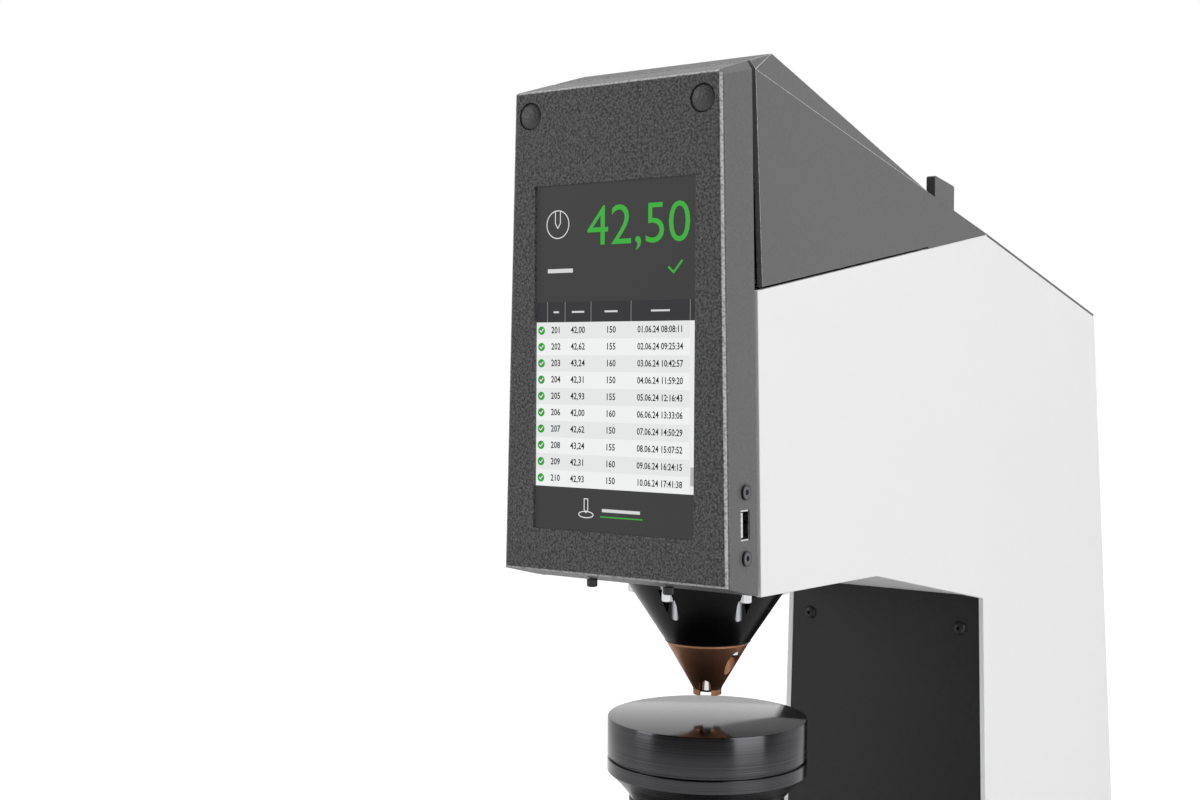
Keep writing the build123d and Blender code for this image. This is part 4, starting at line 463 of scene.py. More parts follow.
def dome_screws(name, radius, height, spots, outwards, body="root"):
    """Button-head screws with a hexagon socket, seated at spots on a face."""
    aim = Vector(outwards).to_track_quat("Z", "Y").to_matrix().to_4x4()
    build = bmesh.new()
    for spot in spots:
        head = half_ball(build, SCREW_SIDES, CROWN)
        rim = [e for v in head for e in v.link_edges if e.is_boundary and e.verts[0].co.z > 0.5]
        ring = list(dict.fromkeys(rim))
        for depth, share in SOCKET_STEPS:
            wall = bmesh.ops.extrude_edge_only(build, edges=ring)["geom"]
            lip = [v for v in wall if isinstance(v, bmesh.types.BMVert)]
            ring = [e for e in wall if isinstance(e, bmesh.types.BMEdge) and e.is_boundary]
            for vert in lip:
                bearing = atan2(vert.co.y, vert.co.x)
                reach = share * cos(pi / 6) / cos(bearing % (pi / 3) - pi / 6)
                vert.co = (reach * cos(bearing), reach * sin(bearing), SOCKET_RIM - depth)
            head += lip
        bmesh.ops.scale(build, vec=(radius, radius, height), verts=head)
        bmesh.ops.transform(build, matrix=Matrix.Translation(spot) @ aim, verts=head)
    bmesh.ops.recalc_face_normals(build, faces=build.faces)
    return made(build, name, black_oxide, body)


HUB_SCREWS = 6
HUB_SCREW_PCR = 0.0582
HUB_SCREW_R = 0.0038
HUB_SCREW_DOME = 0.0021
hub_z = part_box("bellows_cup")[0][2]
hub_turns = [tau * k / HUB_SCREWS for k in range(HUB_SCREWS)]
hub_spots = [(HUB_SCREW_PCR * cos(a), axis_y + HUB_SCREW_PCR * sin(a), hub_z) for a in hub_turns]
dome_screws("hub_screws", HUB_SCREW_R, HUB_SCREW_DOME, hub_spots, (0, 0, 1), "handwheel")

# ---- Anvil ----
# Hardened steel table with a stem in the screw's head, turned and then blackened: the face is
# lapped nearly to a mirror, and the rim keeps its fine turning marks and a narrow groove.
ANVIL_R = 0.0478
RIM = 0.0184
GROOVE = 0.0015
BAND = 0.0062
EDGE = 0.0003
SHOULDER_IN = 0.0053
SHOULDER_DROP = 0.0047
NECK_R = 0.0368
NECK_FLARE = 0.0009
NECK_DROP = 0.0104
ANVIL_TALL = 0.0388
STEM_R = 0.0095
STEM_CHAMFER = 0.001
LAPPED_SKIN = 0.0001
face_z = anvil_high[2]
groove_z = face_z - RIM
band_z = groove_z - GROOVE
shoulder_z = band_z - BAND
anvil_foot_z = face_z - ANVIL_TALL


def spun(profile, name, material, steps=128, sharp=30):
    """Piece on the spindle, turned about the test axis from (radius, height) points of its wall."""
    build = bmesh.new()
    verts = [build.verts.new((radius, axis_y, height)) for radius, height in profile]
    edges = [build.edges.new(pair) for pair in zip(verts, verts[1:] + verts[:1])]
    bmesh.ops.spin(
        build,
        geom=verts + edges,
        cent=(0, axis_y, 0),
        axis=(0, 0, 1),
        dvec=(0, 0, 0),
        angle=tau,
        steps=steps,
        use_merge=True,
    )
    bmesh.ops.remove_doubles(build, verts=build.verts, dist=1e-6)
    bmesh.ops.recalc_face_normals(build, faces=build.faces)
    return made(build, name, material, "spindle", sharp)


def anvil_look(start):
    marks = rings(start, 2200, 3)
    fine = rings(start, 5200, 1)
    _, _, height = start.place().split()
    lapped = height > face_z - LAPPED_SKIN
    scratch = start.cloud(160, 5, (1, 6, 1)).spread(0.6, 0.75)
    turned = marks.spread(0.3, 0.7, 0.2, 0.28)
    return {
        "Base Color": marks.spread(0.3, 0.7).between(colour("3C3C3E"), colour("4E4E50")),
        "Roughness": (1 - lapped) * turned + lapped * (scratch * 0.06 + 0.1),
        "Normal": ((marks * 0.7 + fine * 0.3) * (1 - lapped * 0.9)).relief(0.000004),
    }


brushed_round = {"Metallic": 1.0, "Anisotropic": 0.85, "Anisotropic Rotation": 0.25}
lapped_steel = finish("lapped steel", brushed_round, anvil_look)
anvil_wall = [
    (0, face_z),
    (ANVIL_R - 3 * EDGE, face_z),
    (ANVIL_R - EDGE, face_z - 0.6 * EDGE),
    (ANVIL_R, face_z - 2.6 * EDGE),
    (ANVIL_R, groove_z + EDGE),
    (ANVIL_R - EDGE, groove_z),
    (ANVIL_R - 5 * EDGE, groove_z - EDGE),
    (ANVIL_R - 5 * EDGE, band_z + EDGE),
    (ANVIL_R - EDGE, band_z),
    (ANVIL_R, band_z - EDGE),
    (ANVIL_R, shoulder_z + EDGE),
    (ANVIL_R - EDGE, shoulder_z),
    (ANVIL_R - SHOULDER_IN, shoulder_z - SHOULDER_DROP),
    (NECK_R + NECK_FLARE, shoulder_z - NECK_DROP),
    (NECK_R, anvil_foot_z),
    (STEM_R, anvil_foot_z),
    (STEM_R, anvil_low[2] + STEM_CHAMFER),
    (STEM_R - STEM_CHAMFER, anvil_low[2]),
    (0, anvil_low[2]),
]
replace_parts(spun(anvil_wall, "anvil_turned", lapped_steel), "anvil")

# ---- Bellows ----
# Folded sleeve of rubberised cloth that keeps dust off the screw. Its collar is clamped round
# the anvil's neck and its foot rests in the cup.
BELLOWS_FOLDS = 26
BELLOWS_R = 0.046
BELLOWS_FOOT_R = 0.043
BELLOWS_ROOT_R = 0.0372
CREST_EDGE_R = 0.0454
CLOTH = 0.0012
COLLAR = 0.007
bellows_low, bellows_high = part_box("bellows")
rest_length = bellows_high[2] - bellows_low[2]
fold_pitch = (rest_length - 2 * COLLAR) / BELLOWS_FOLDS
# One fold from root to root over its rounded crest: radius, and height in fold pitches.
FOLD = (
    (BELLOWS_ROOT_R, 0.1),
    (CREST_EDGE_R, 0.5),
    (BELLOWS_R, 0.57),
    (CREST_EDGE_R, 0.64),
    (BELLOWS_ROOT_R, 1.04),
)


def cloth_look(start):
    weave = start.cloud(2200, 2)
    dust = start.cloud(18, 5)
    return {
        "Base Color": dust.between(colour("141416"), colour("222224")),
        "Roughness": dust.spread(0.3, 0.7, 0.42, 0.6),
        "Normal": weave.relief(0.00005),
    }


first_fold = bellows_low[2] + COLLAR
outer = [(BELLOWS_FOOT_R, bellows_low[2]), (BELLOWS_FOOT_R, first_fold)]
for k in range(BELLOWS_FOLDS):
    outer += [(radius, first_fold + (k + share) * fold_pitch) for radius, share in FOLD]
outer += [(BELLOWS_ROOT_R, bellows_high[2] - COLLAR), (BELLOWS_ROOT_R, bellows_high[2])]
inner = [(radius - CLOTH, height) for radius, height in reversed(outer)]
rubber_cloth = finish("rubber cloth", {"Specular IOR Level": 0.5}, cloth_look)
folds = spun(outer + inner, "bellows_folds", rubber_cloth, steps=80, sharp=40)
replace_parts(folds, "bellows")
spindle_drop = -next(j for j in frame["joints"] if j["name"] == "spindle_slide")["range_m"][0]
(rest_length - spindle_drop) / rest_length
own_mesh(folds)


# ---- White side panels ----
# Steel sheet bent to a C on each side of the casting, with a satin white powder coat. The coat's
# faint orange peel only shows where light grazes it.
def powder_coat(name, dark, light, rough, grain, depth, specular):
    """Powder coat: colour range, roughness, grains a metre, the coat's relief and its gloss."""

    def look(start):
        peel = start.cloud(grain, 3) + start.cells(grain * 0.7) * 0.5
        return {
            "Base Color": start.cloud(6, 4).between(colour(dark), colour(light)),
            "Roughness": peel.spread(0.4, 1.1, rough * 0.85, rough * 1.15),
            "Normal": peel.relief(depth),
        }

    return finish(name, {"Specular IOR Level": specular}, look)


def eased(node, material, width, segments=2, edge_finish=None, limit=40):
    """Copy of a piece whose sharp edges are broken; worn is the edges' own finish, if any."""
    build = bmesh.new()
    build.from_mesh(frame["nodes"][node].data)
    bmesh.ops.remove_doubles(build, verts=build.verts, dist=1e-6)
    bmesh.ops.dissolve_limit(build, angle_limit=radians(0.5), verts=build.verts, edges=build.edges)
    piece = made(build, node + "_eased", material, frame["nodes"][node]["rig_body"])
    edges = piece.modifiers.new("broken edges", "BEVEL")
    edges.width = width
    edges.segments = segments
    edges.limit_method = "ANGLE"
    edges.angle_limit = radians(limit)
    edges.use_clamp_overlap = True
    edges.harden_normals = True
    if edge_finish:
        piece.data.materials.append(edge_finish)
        edges.material = 1
    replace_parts(piece, node)


satin_white = powder_coat("satin white", "E8E8E8", "ECECEC", 0.5, 420, 0.00006, 0.2)
eased("side_panel_right", satin_white, 0.0005)
eased("side_panel_left", satin_white, 0.0005)

# ---- Hood, roof cover and lifting lugs ----
# The hood is folded from sheet, with a long facet along each side, and coated a grained grey like
# the roof sheet behind it; the bevels of its edges that face neither back nor down carry a painted
# highlight of pale specks. Two steel lugs stand on the roof, with the faces of their front ends
# coloured near black.
grained_grey = powder_coat("grained grey", "626263", "69696A", 0.55, 900, 0.00012, 0.2)


def edge_highlight_look(start):
    # Painted highlight: bevels that face neither back nor down are coloured in pale specks.
    _, ahead, up = start.facing()
    front = (ahead < 0.2) * (up > -0.3)
    highlight_specks = start.cloud(1400, 2).spread(0.35, 0.6).between(colour("A2A2A3"), colour("F2F2F2"))
    return {
        "Base Color": front.between(colour("626263"), highlight_specks),
        "Roughness": start.cloud(900, 3).spread(0.3, 0.7, 0.35, 0.5),
    }


edge_highlight_grey = finish("painted edge highlight", {"Specular IOR Level": 0.3}, edge_highlight_look)
eased("top_hood", grained_grey, 0.0007, 3, edge_finish=edge_highlight_grey, limit=12)
eased("roof_cover", grained_grey, 0.0004)


def lug_look(start):
    _, ahead, _ = start.facing()
    # Faces turned to the front are coloured near black.
    front = ahead < -0.8
    peel = start.cloud(900, 3)
    return {
        "Base Color": front.between(colour("606061"), colour("0C0C0D")),
        "Roughness": peel.spread(0.4, 0.8, 0.45, 0.6),
        "Normal": peel.relief(0.0001),
    }


eased("lifting_lugs", finish("lug coat", {"Specular IOR Level": 0.4}, lug_look), 0.0005)

# ---- Throat and base covers ----
# White sheet under the head, satin black sheet down the column and over the base, the column's
# held by dome screws, and a dark grey front. The base plate is enamelled and stands on rubber feet.
satin_black = powder_coat("satin black", "1A1A1B", "212122", 0.45, 700, 0.00008, 0.35)
eased("throat_roof", satin_white, 0.0003)
eased("column_cover", satin_black, 0.0003)
eased("base_top_cover", satin_black, 0.0003)
eased("base_front_cover", grained_grey, 0.0005)
dress(black_enamel, "base_plate")
eased("rubber_feet", moulded_rubber, 0.001, 3)

COVER_SCREW_R = 0.0038
COVER_SCREW_DOME = 0.0022
cover_low, cover_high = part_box("cover_screws")
column_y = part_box("column_cover")[0][1]
screw_x = cover_high[0] - COVER_SCREW_R
screw_rows = [cover_low[2] + COVER_SCREW_R, cover_high[2] - COVER_SCREW_R]
screw_rows.append(sum(screw_rows) / 2)
column_spots = [(x, column_y, z) for x in (-screw_x, screw_x) for z in screw_rows]
column_screws = dome_screws(
    "column_dome_screws", COVER_SCREW_R, COVER_SCREW_DOME, column_spots, (0, -1, 0)
)
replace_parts(column_screws, "cover_screws")

# ---- Rear cover and connectors ----
# One coated sheet closes the back, leaning forward, with vents, a row of dome screws down each
# side, and cut-outs for the mains inlet with its rocker and for the network socket.
REAR_SLOPE = 0.0805
SIDE_TAPER = 0.0225
EDGE_MARGIN = 0.009
REAR_ROWS = (0.04, 0.27, 0.5, 0.74)
REAR_SCREW_R = 0.0032
REAR_SCREW_DOME = 0.0017
eased("rear_cover", grained_grey, 0.0003)
rear_low, rear_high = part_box("rear_cover")
rear_spots = []
for z in REAR_ROWS:
    rise = z - rear_low[2]
    screw_x = rear_high[0] - EDGE_MARGIN - SIDE_TAPER * rise
    rear_spots += [(x, rear_high[1] - REAR_SLOPE * rise, z) for x in (-screw_x, screw_x)]
dome_screws("rear_dome_screws", REAR_SCREW_R, REAR_SCREW_DOME, rear_spots, (0, 1, REAR_SLOPE))
dress(finish("inlet moulding", {}, enamel_look), "mains_inlet", "power_rocker")

JACK_RIM = 0.0012
JACK_WIRES = 8
JACK_PITCH = 0.00102
WIRE_SIZE = (0.00045, 0.006, 0.0003)
WIRE_DEEP = 0.0035
WIRE_RISE = 0.0038
jack_low, jack_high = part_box("lan_socket")
jack_mouth = rear_high[1] + REAR_SLOPE * rear_low[2] - JACK_RIM


def jack_look(start):
    _, y, z = start.place().split()
    inside = y + z * REAR_SLOPE < jack_mouth
    return {
        "Base Color": inside.between(colour("B9BABD"), colour("101011")),
        "Metallic": 1 - inside,
        "Roughness": start.cloud(500, 3).spread(0.3, 0.7, 0.2, 0.34),
    }


def block(build, middle, size, turn=Matrix()):
    """Adds a box of a size, centred on a point."""
    seat = Matrix.Translation(middle) @ turn @ Matrix.Diagonal((*size, 1))
    bmesh.ops.create_cube(build, size=1.0, matrix=seat)


def in_row(count, pitch):
    """Offsets of so many things set at a pitch, about the middle of their row."""
    return [(k - (count - 1) / 2) * pitch for k in range(count)]


dress(finish("jack shell", {}, jack_look), "lan_socket")
jack_x = (jack_low[0] + jack_high[0]) / 2
wire_z = (jack_low[2] + jack_high[2]) / 2 + WIRE_RISE
wire_y = jack_mouth - REAR_SLOPE * wire_z - WIRE_DEEP
jack_wires = bmesh.new()
for aside in in_row(JACK_WIRES, JACK_PITCH):
    block(jack_wires, (jack_x + aside, wire_y, wire_z), WIRE_SIZE)
made(jack_wires, "jack_wires", sheet_metal("contact plating", "B98A3E", "D2A655", 0.22, (1, 0.1, 1)))
perforated_case = sheet_metal("supply case", "9A9C9F", "B0B2B5", 0.4, (1, 0.1, 1))
dress(perforated_case, "power_supply", "motor_driver")

# ---- Front housing ----
# Injection-moulded shell with a coarse leather grain on its face and a faint one on its sides,
# a rounded bead round the face, and an opening for the display. The sides are painted lighter
# than the face, though one moulding, the grain's peaks are painted light and its grooves dark,
# and the bead carries a painted highlight of pale specks. Two domed plugs close the screw holes
# in its upper corners.
face_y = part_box("front_housing")[0][1]


def leather_look(start):
    _, y, _ = start.place().split()
    depth = y - face_y
    front = 1 - depth.spread(0.0006, 0.003)
    aside, ahead, up = start.facing()
    # Painted highlight: the bead, where the face turns to the sides and top, is coloured in pale
    # specks.
    bead_highlight = abs(ahead * (abs(aside) + up)).spread(0.36, 0.48) * (depth < 0.0022)
    grain = (1 - start.cells(1050, "SMOOTH_F1")) * 0.8 + start.cloud(820, 4) * 0.5
    high = grain.spread(0.45, 1.05)
    # Painted light and shade on the grain: its peaks are coloured lighter and its grooves darker.
    face_grain_light_and_shade = high.between(colour("2A2A2B"), colour("606061"))
    # Painted light: the sides are coloured lighter than the face, though both are one moulding.
    lit_side_tone = start.cloud(9, 3).between(colour("5A5A5B"), colour("5F5F60"))
    moulded = front.between(lit_side_tone, face_grain_light_and_shade)
    return {
        "Base Color": (bead_highlight * high.spread(0.0, 0.5, 0.55, 1.0)).between(moulded, colour("B9B9BA")),
        "Roughness": high.spread(0.0, 1.0, 0.56, 0.36),
        "Normal": (grain * (front * 0.9 + 0.1)).relief(0.0007),
    }


leather_grain = finish("leather grain moulding", {"Specular IOR Level": 0.4}, leather_look)
dress(leather_grain, "front_housing")
dress(black_enamel, "bulkhead_plate")

PLUG_R = 0.00605
PLUG_SUNK = 0.0011
PLUG_SIDES = 48
plug_low, plug_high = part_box("face_plugs")
plug_dome = face_y - plug_low[1] + PLUG_SUNK
plugs = bmesh.new()
for x in (plug_low[0] + PLUG_R, plug_high[0] - PLUG_R):
    dome = half_ball(plugs, PLUG_SIDES)
    bmesh.ops.scale(plugs, vec=(PLUG_R, PLUG_R, plug_dome), verts=dome)
    seat = Matrix.Translation((x, face_y + PLUG_SUNK, (plug_low[2] + plug_high[2]) / 2))
    bmesh.ops.transform(plugs, matrix=seat @ Matrix.Rotation(pi / 2, 4, "X"), verts=dome)
plug_moulding = powder_coat("plug moulding", "2A2A2B", "3A3A3B", 0.42, 1100, 0.0003, 0.5)
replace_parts(made(plugs, "face_plug_domes", plug_moulding, sharp=60), "face_plugs")

# ---- Display ----
# Touch glass over a lit panel, behind the housing's opening. It shows a result in large digits,
# a list of earlier results with ticks, and a bar with the test button. Its places are given as
# x and as the drop below the top of the housing's face.
FACE_TOP = 0.874
SCREEN_HALF = 0.0431
SCREEN_TOP = 0.042
HEADER_TOP = 0.0942
LIST_TOP = 0.1032
LIST_END = 0.1771
SCREEN_END = 0.1962
ROWS = 10
SCROLL_X = 0.0396
SCROLL_MARGIN = 0.0006
SLIDER_DROPS = (0.1655, 0.1735)
COLUMNS = (-0.037, -0.027, -0.0126, 0.009, SCROLL_X)
HAIRLINE = 0.0003
HEADINGS = ((-0.0335, -0.0305), (-0.0232, -0.0164), (-0.0052, 0.0018), (0.0195, 0.0292))
HEADING_DROPS = (0.0983, 0.0991)
SCALE_LABEL = (-0.0369, -0.0228, 0.0793, 0.0811)
BUTTON_LABEL = (-0.006, 0.0144, 0.1858, 0.1872)
BUTTON_LINE = (-0.007, 0.0157, 0.1891, 0.1896)
PASS_GREEN = "42B042"
PALE_GREY = "E8E8E8"
PRINT = 0.00004
row_height = (LIST_END - LIST_TOP) / ROWS
glass_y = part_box("display_module")[0][1]


def glass_look(start):
    smear = start.cloud(30, 5)
    return {
        "Base Color": smear.between(colour("0A0A0C"), colour("101012")),
        "Roughness": smear.spread(0.35, 0.7, 0.05, 0.12),
    }


dress(finish("touch glass", {"Coat Weight": 0.4}, glass_look), "display_module")


def lit(name, code):
    """Part of the lit panel under the glass: its own light, and the glass's gloss over it."""

    def look(start):
        dimmer = (*[c * 0.95 for c in colour(code)[:3]], 1.0)
        return {"Emission Color": start.cloud(12, 2).between(colour(code), dimmer)}

    gloss = {"Roughness": 0.3, "Specular IOR Level": 0.05}
    return finish(name, {"Base Color": (0, 0, 0, 1), "Emission Strength": 1.0, **gloss}, look)


def on_screen(x, drop, layer):
    """Point of the display at a place, with each layer printed over the one before."""
    return Vector((x, glass_y - (layer + 0.5) * PRINT, FACE_TOP - drop))


def bars(name, code, layer, boxes):
    """Flat rectangles of the display, each (left, right, top, bottom)."""
    build = bmesh.new()
    for left, right, top, bottom in boxes:
        middle = on_screen((left + right) / 2, (top + bottom) / 2, layer)
        block(build, middle, (right - left, PRINT, bottom - top))
    made(build, name, lit(name, code))


bars("screen_ground", "424242", 0, [(-SCREEN_HALF, SCREEN_HALF, SCREEN_TOP, SCREEN_END)])
bars("screen_header", "3A3A3C", 1, [(-SCREEN_HALF, SCREEN_HALF, HEADER_TOP, LIST_TOP)])
row_tops = [LIST_TOP + k * row_height for k in range(ROWS)]
stripes = [(-SCREEN_HALF, SCROLL_X, top, top + row_height) for top in row_tops]
bars("screen_rows_light", "F2F3F3", 1, stripes[1::2])
bars("screen_rows_grey", "E8E9E9", 1, stripes[0::2])
bars("screen_scroll_track", "EDEDED", 1, [(SCROLL_X, SCREEN_HALF, LIST_TOP, LIST_END)])
slider = (SCROLL_X + SCROLL_MARGIN, SCREEN_HALF - SCROLL_MARGIN, *SLIDER_DROPS)
bars("screen_scroll_bar", "B8B8B8", 2, [slider])
dividers = [(x - HAIRLINE / 2, x + HAIRLINE / 2, HEADER_TOP, LIST_TOP) for x in COLUMNS]
bars("screen_dividers", "8A8A8A", 2, dividers)
bars("screen_button_line", PASS_GREEN, 1, [BUTTON_LINE])
labels = [(*ends, *HEADING_DROPS) for ends in HEADINGS]
bars("screen_labels", "D8D8D8", 2, [*labels, SCALE_LABEL, BUTTON_LABEL])


CAP_SHARE = 0.7


def figures(name, code, height, entries, thicken):
    """Numbers of the display, each (text, x, drop of its foot, LEFT or CENTER, squeeze)."""
    build = bmesh.new()
    for text, x, foot, align, squeeze in entries:
        curve = bpy.data.curves.new(name, "FONT")
        curve.body = text
        curve.size = height / CAP_SHARE
        curve.align_x = align
        curve.extrude = PRINT / 2
        curve.resolution_u = 4 if height > 0.01 else 2
        curve.offset = thicken
        words = bpy.data.objects.new(name, curve)
        flat = bpy.data.meshes.new_from_object(words)
        upright = Matrix.Rotation(pi / 2, 4, "X") @ Matrix.Diagonal((squeeze, 1, 1, 1))
        flat.transform(Matrix.Translation(on_screen(x, foot, 2)) @ upright)
        build.from_mesh(flat)
        bpy.data.objects.remove(words)
        bpy.data.curves.remove(curve)
        bpy.data.meshes.remove(flat)
    made(build, name, lit(name, code))


RESULT_HEIGHT = 0.0176
ENTRY_HEIGHT = 0.0029
ENTRY_FOOT = 0.66
ENTRY_SQUEEZE = 0.86
DATE_SQUEEZE = 0.8
FIRST_TEST = 201
TEST_X = -0.0321
VALUE_X = -0.0198
LOAD_X = -0.0017
DATE_X = 0.0243
result = ("42,50", -0.0152, 0.0694, "LEFT", 0.99)
figures("screen_result", PASS_GREEN, RESULT_HEIGHT, [result], -0.0001)
listed = []
for k in range(ROWS):
    foot = row_tops[k] + ENTRY_FOOT * row_height
    value = f"{42 + (k * 7 % 5) * 0.31:.2f}".replace(".", ",")
    time = f"{8 + k:02d}:{(k * 17 + 8) % 60:02d}:{(k * 23 + 11) % 60:02d}"
    listed.append((str(FIRST_TEST + k), TEST_X, foot, "CENTER", ENTRY_SQUEEZE))
    listed.append((value, VALUE_X, foot, "CENTER", ENTRY_SQUEEZE))
    listed.append((str(150 + 5 * (k % 3)), LOAD_X, foot, "CENTER", ENTRY_SQUEEZE))
    listed.append((f"{k + 1:02d}.06.24 {time}", DATE_X, foot, "CENTER", DATE_SQUEEZE))
figures("screen_figures", "202022", ENTRY_HEIGHT, listed, 0.00006)

TICK_X = -0.0403
TICK_R = 0.0019
tick_spots = [(TICK_X, top + row_height / 2) for top in row_tops]
disc = {"cap_ends": True, "segments": 28, "radius1": TICK_R, "radius2": TICK_R, "depth": PRINT}
ticks = bmesh.new()
for x, drop in tick_spots:
    aim = Matrix.Translation(on_screen(x, drop, 2)) @ Matrix.Rotation(pi / 2, 4, "X")
    bmesh.ops.create_cone(ticks, matrix=aim, **disc)
made(ticks, "screen_tick_discs", lit("screen_tick_discs", "2FA03A"))


def strokes(name, code, layer, paths, width):
    """Thin drawn lines of the display, along runs of (x, drop) points."""
    build = bmesh.new()
    for path in paths:
        for (ax, az), (bx, bz) in zip(path, path[1:]):
            run = Vector((bx - ax, 0, az - bz))
            middle = on_screen((ax + bx) / 2, (az + bz) / 2, layer)
            turn = Matrix.Rotation(-atan2(run.z, run.x), 4, "Y")
            block(build, middle, (run.length + width * 0.7, PRINT, width), turn)
    made(build, name, lit(name, code))


def loop(middle, wide, tall, steps):
    """Closed oval of points round a middle, from half its width and half its height."""
    turns = [tau * k / steps for k in range(steps + 1)]
    return [(middle[0] + wide * sin(a), middle[1] - tall * cos(a)) for a in turns]


def moved(path, to):
    """A run of points about a middle, carried to another middle."""
    return [(to[0] + x, to[1] + drop) for x, drop in path]


TICK = ((-0.0009, 0), (-0.0002, 0.0007), (0.001, -0.0007))
DONE_TICK = ((0.0285, 0.0803), (0.031, 0.0825), (0.0352, 0.0777))
LINE = 0.0004
BOLD_LINE = 0.0009
strokes("screen_tick_marks", "F4F4F4", 3, [moved(TICK, spot) for spot in tick_spots], LINE)
strokes("screen_done_tick", PASS_GREEN, 1, [DONE_TICK], BOLD_LINE)
CONE_SPOT = (-0.0314, 0.0594)
RING_R = 0.0062
CONE = ((-0.0014, -0.006), (-0.0014, -0.0005), (0, 0.0017), (0.0014, -0.0005), (0.0014, -0.006))
ring = loop(CONE_SPOT, RING_R, RING_R, 40)
strokes("screen_icon", PALE_GREY, 1, [ring, moved(CONE, CONE_SPOT)], LINE)
PROBE_SPOT = (-0.0148, 0.1866)
PLATE_SPOT = (-0.0148, 0.1888)
PLATE_WIDE = 0.004
PLATE_TALL = 0.0014
PROBE = ((-0.001, -0.0048), (-0.001, 0), (0, 0.0014), (0.001, 0), (0.001, -0.0048), (-0.001, -0.0048))
plate = loop(PLATE_SPOT, PLATE_WIDE, PLATE_TALL, 24)
strokes("screen_button_icon", PALE_GREY, 1, [plate, moved(PROBE, PROBE_SPOT)], LINE)


# ---- Controller board and USB socket ----
# Green board on four pillars behind the display, and the socket in the housing's right side,
# held by two low screws with dark rims.
def resist_look(start):
    tracks = start.cloud(500, 2, (1, 1, 0.08)).spread(0.5, 0.55)
    return {
        "Base Color": tracks.between(colour("0F5B33"), colour("1B7043")),
        "Roughness": start.cloud(90, 3).spread(0.3, 0.7, 0.25, 0.4),
    }


dress(finish("solder resist", {}, resist_look), "controller_board")
dress(bright_plate, "usb_socket")

port_low, port_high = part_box("usb_socket")
screws_low, screws_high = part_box("usb_screws")
port_y = (port_low[1] + port_high[1]) / 2
port_z = (port_low[2] + port_high[2]) / 2
port_screw_r = (screws_high[1] - screws_low[1]) / 2
port_pitch = screws_high[2] - screws_low[2] - 2 * port_screw_r


def rimmed_look(start):
    _, y, z = start.place().split()
    rim = (y - port_y).reach(abs(z - port_z) - port_pitch / 2) > port_screw_r * 0.8
    return {
        "Base Color": rim.between(colour("66666A"), colour("151516")),
        "Metallic": 0.7 - rim * 0.7,
        "Roughness": start.cloud(700, 3).spread(0.3, 0.7, 0.28, 0.42),
    }


dress(finish("rimmed screws", {}, rimmed_look), "usb_screws")
CONTACTS = 4
CONTACT_PITCH = 0.0025
CONTACT_SIZE = (0.004, 0.0003, 0.001)
CONTACT_DEEP = 0.0028
CONTACT_AHEAD = 0.0019
contacts = bmesh.new()
for rise in in_row(CONTACTS, CONTACT_PITCH):
    block(contacts, (port_high[0] - CONTACT_DEEP, port_y - CONTACT_AHEAD, port_z + rise), CONTACT_SIZE)
made(contacts, "usb_contacts", sheet_metal("contact copper", "B26A3C", "CB8552", 0.25, (0.1, 1, 1)))

# ---- Studio ----
# Pale floor and a white backdrop that also shows in metal and glass, with the dimmer room ahead
# of the machine. Soft lamps: a large one on the right, a weaker one in front and one overhead.
FLOOR_HALF = 30.0
floor_build = bmesh.new()
bmesh.ops.create_grid(floor_build, x_segments=1, y_segments=1, size=FLOOR_HALF)
floor_mesh = bpy.data.meshes.new("floor")
floor_build.to_mesh(floor_mesh)
floor_build.free()
floor = bpy.data.objects.new("floor", floor_mesh)
bpy.context.scene.collection.objects.link(floor)


def floor_look(start):
    x, y, _ = start.place().split()
    ray = start.node("LightPath", output="Is Camera Ray")
    seen = start.maths("MAXIMUM", ray, ray.of("Is Glossy Ray") * 0.8)
    return {"Emission Color": seen * x.reach(y).spread(0.5, 2.0, 0.25, 0.8)}


chalk = {"Base Color": (0.8, 0.8, 0.8, 1), "Roughness": 0.9, "Specular IOR Level": 0.0}
floor_mesh.materials.append(finish("floor paint", {**chalk, "Emission Strength": 1.0}, floor_look))

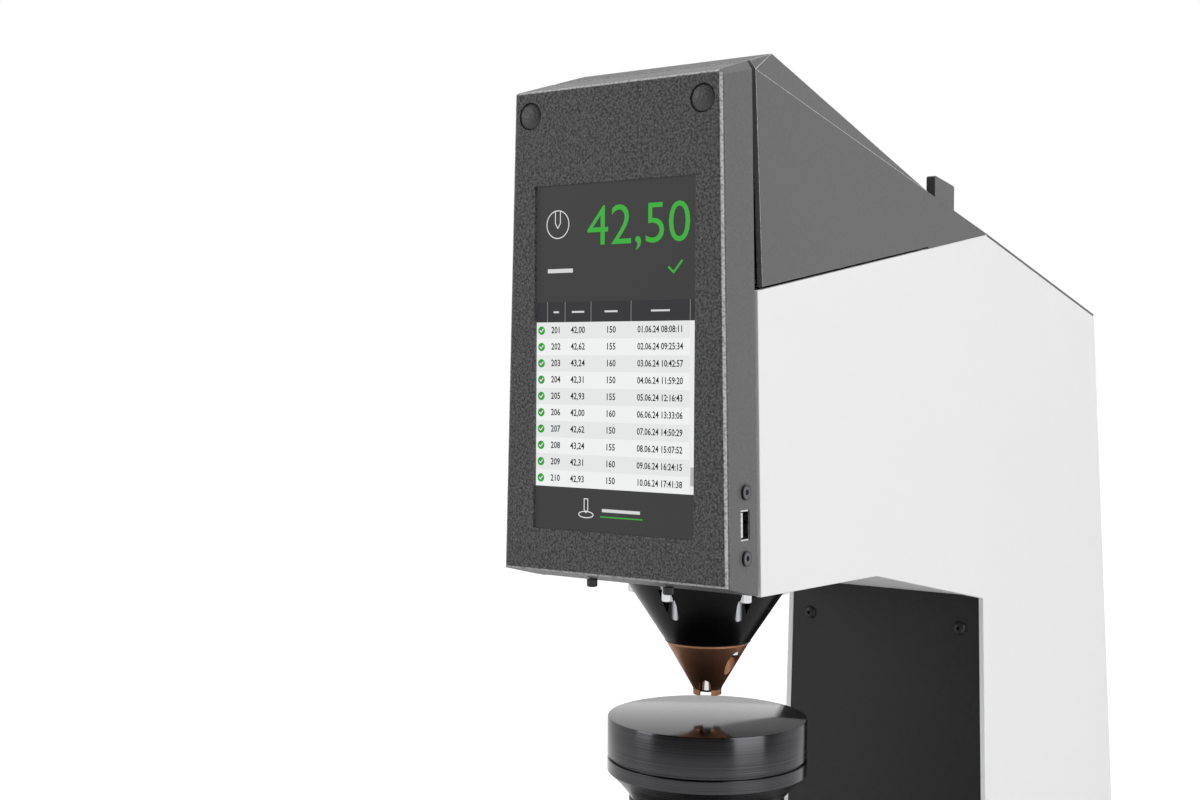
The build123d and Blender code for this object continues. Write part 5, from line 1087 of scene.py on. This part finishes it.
VIEW_YAW = 0.6288
AMBIENT = 0.36
DIM_ROOM = 0.1
world = bpy.data.worlds.new("studio")
bpy.context.scene.world = world
world.use_nodes = True
sky = Shade(world.node_tree)
x, y, _ = sky.node("TexCoord", output="Generated").split()
reflected = (x * -sin(VIEW_YAW) + y * cos(VIEW_YAW)).spread(-0.45, 0.25, DIM_ROOM, 1.0)
ray = sky.node("LightPath", output="Is Camera Ray")
strength = sky.maths("MAXIMUM", ray, ray.of("Is Transmission Ray"))
strength = sky.maths("MAXIMUM", strength, ray.of("Is Glossy Ray") * reflected)
strength = sky.maths("MAXIMUM", strength, ray.of("Is Diffuse Ray") * AMBIENT)
backdrop = world.node_tree.nodes["Background"]
backdrop.inputs["Color"].default_value = (1, 1, 1, 1)
world.node_tree.links.new(strength.socket, backdrop.inputs["Strength"])

LIT_POINT = (0.0, 0.0, 0.6)


def lamp(name, spot, size, power):
    """Square soft box at spot, aimed at the head of the machine."""
    light = bpy.data.lights.new(name, "AREA")
    light.shape = "SQUARE"
    light.size = size
    light.energy = power
    holder = bpy.data.objects.new(name, light)
    holder.location = spot
    holder.rotation_euler = (Vector(LIT_POINT) - Vector(spot)).to_track_quat("-Z", "Y").to_euler()
    bpy.context.scene.collection.objects.link(holder)


lamp("key_box", (2.3, -0.5, 1.5), 1.6, 32.0)
lamp("front_box", (-1.6, -1.8, 1.5), 0.9, 14.0)
lamp("top_box", (0.2, 0.1, 2.9), 1.8, 24.0)

EYE = (0.40869, -0.8202, 0.7512)
VIEW_PITCH = -0.0211
VIEW_ROLL = 0.0061
FOCAL_PIXELS = 1603.755
FRAME_WIDE = 1200
SENSOR = 36.0
camera = bpy.data.objects.new("camera", bpy.data.cameras.new("camera"))
bpy.context.scene.collection.objects.link(camera)
camera.data.sensor_width = SENSOR
camera.data.lens = FOCAL_PIXELS * SENSOR / FRAME_WIDE
camera.data.clip_end = 200.0
level = Vector((cos(VIEW_YAW), sin(VIEW_YAW), 0))
ahead = Vector((-sin(VIEW_YAW) * cos(VIEW_PITCH), cos(VIEW_YAW) * cos(VIEW_PITCH), sin(VIEW_PITCH)))
upward = level.cross(ahead)
right = cos(VIEW_ROLL) * level + sin(VIEW_ROLL) * upward
up = cos(VIEW_ROLL) * upward - sin(VIEW_ROLL) * level
aim = Matrix((right, up, -ahead)).transposed().to_4x4()
camera.matrix_world = Matrix.Translation(EYE) @ aim
bpy.context.scene.camera = camera
bpy.context.scene.view_settings.view_transform = "Standard"
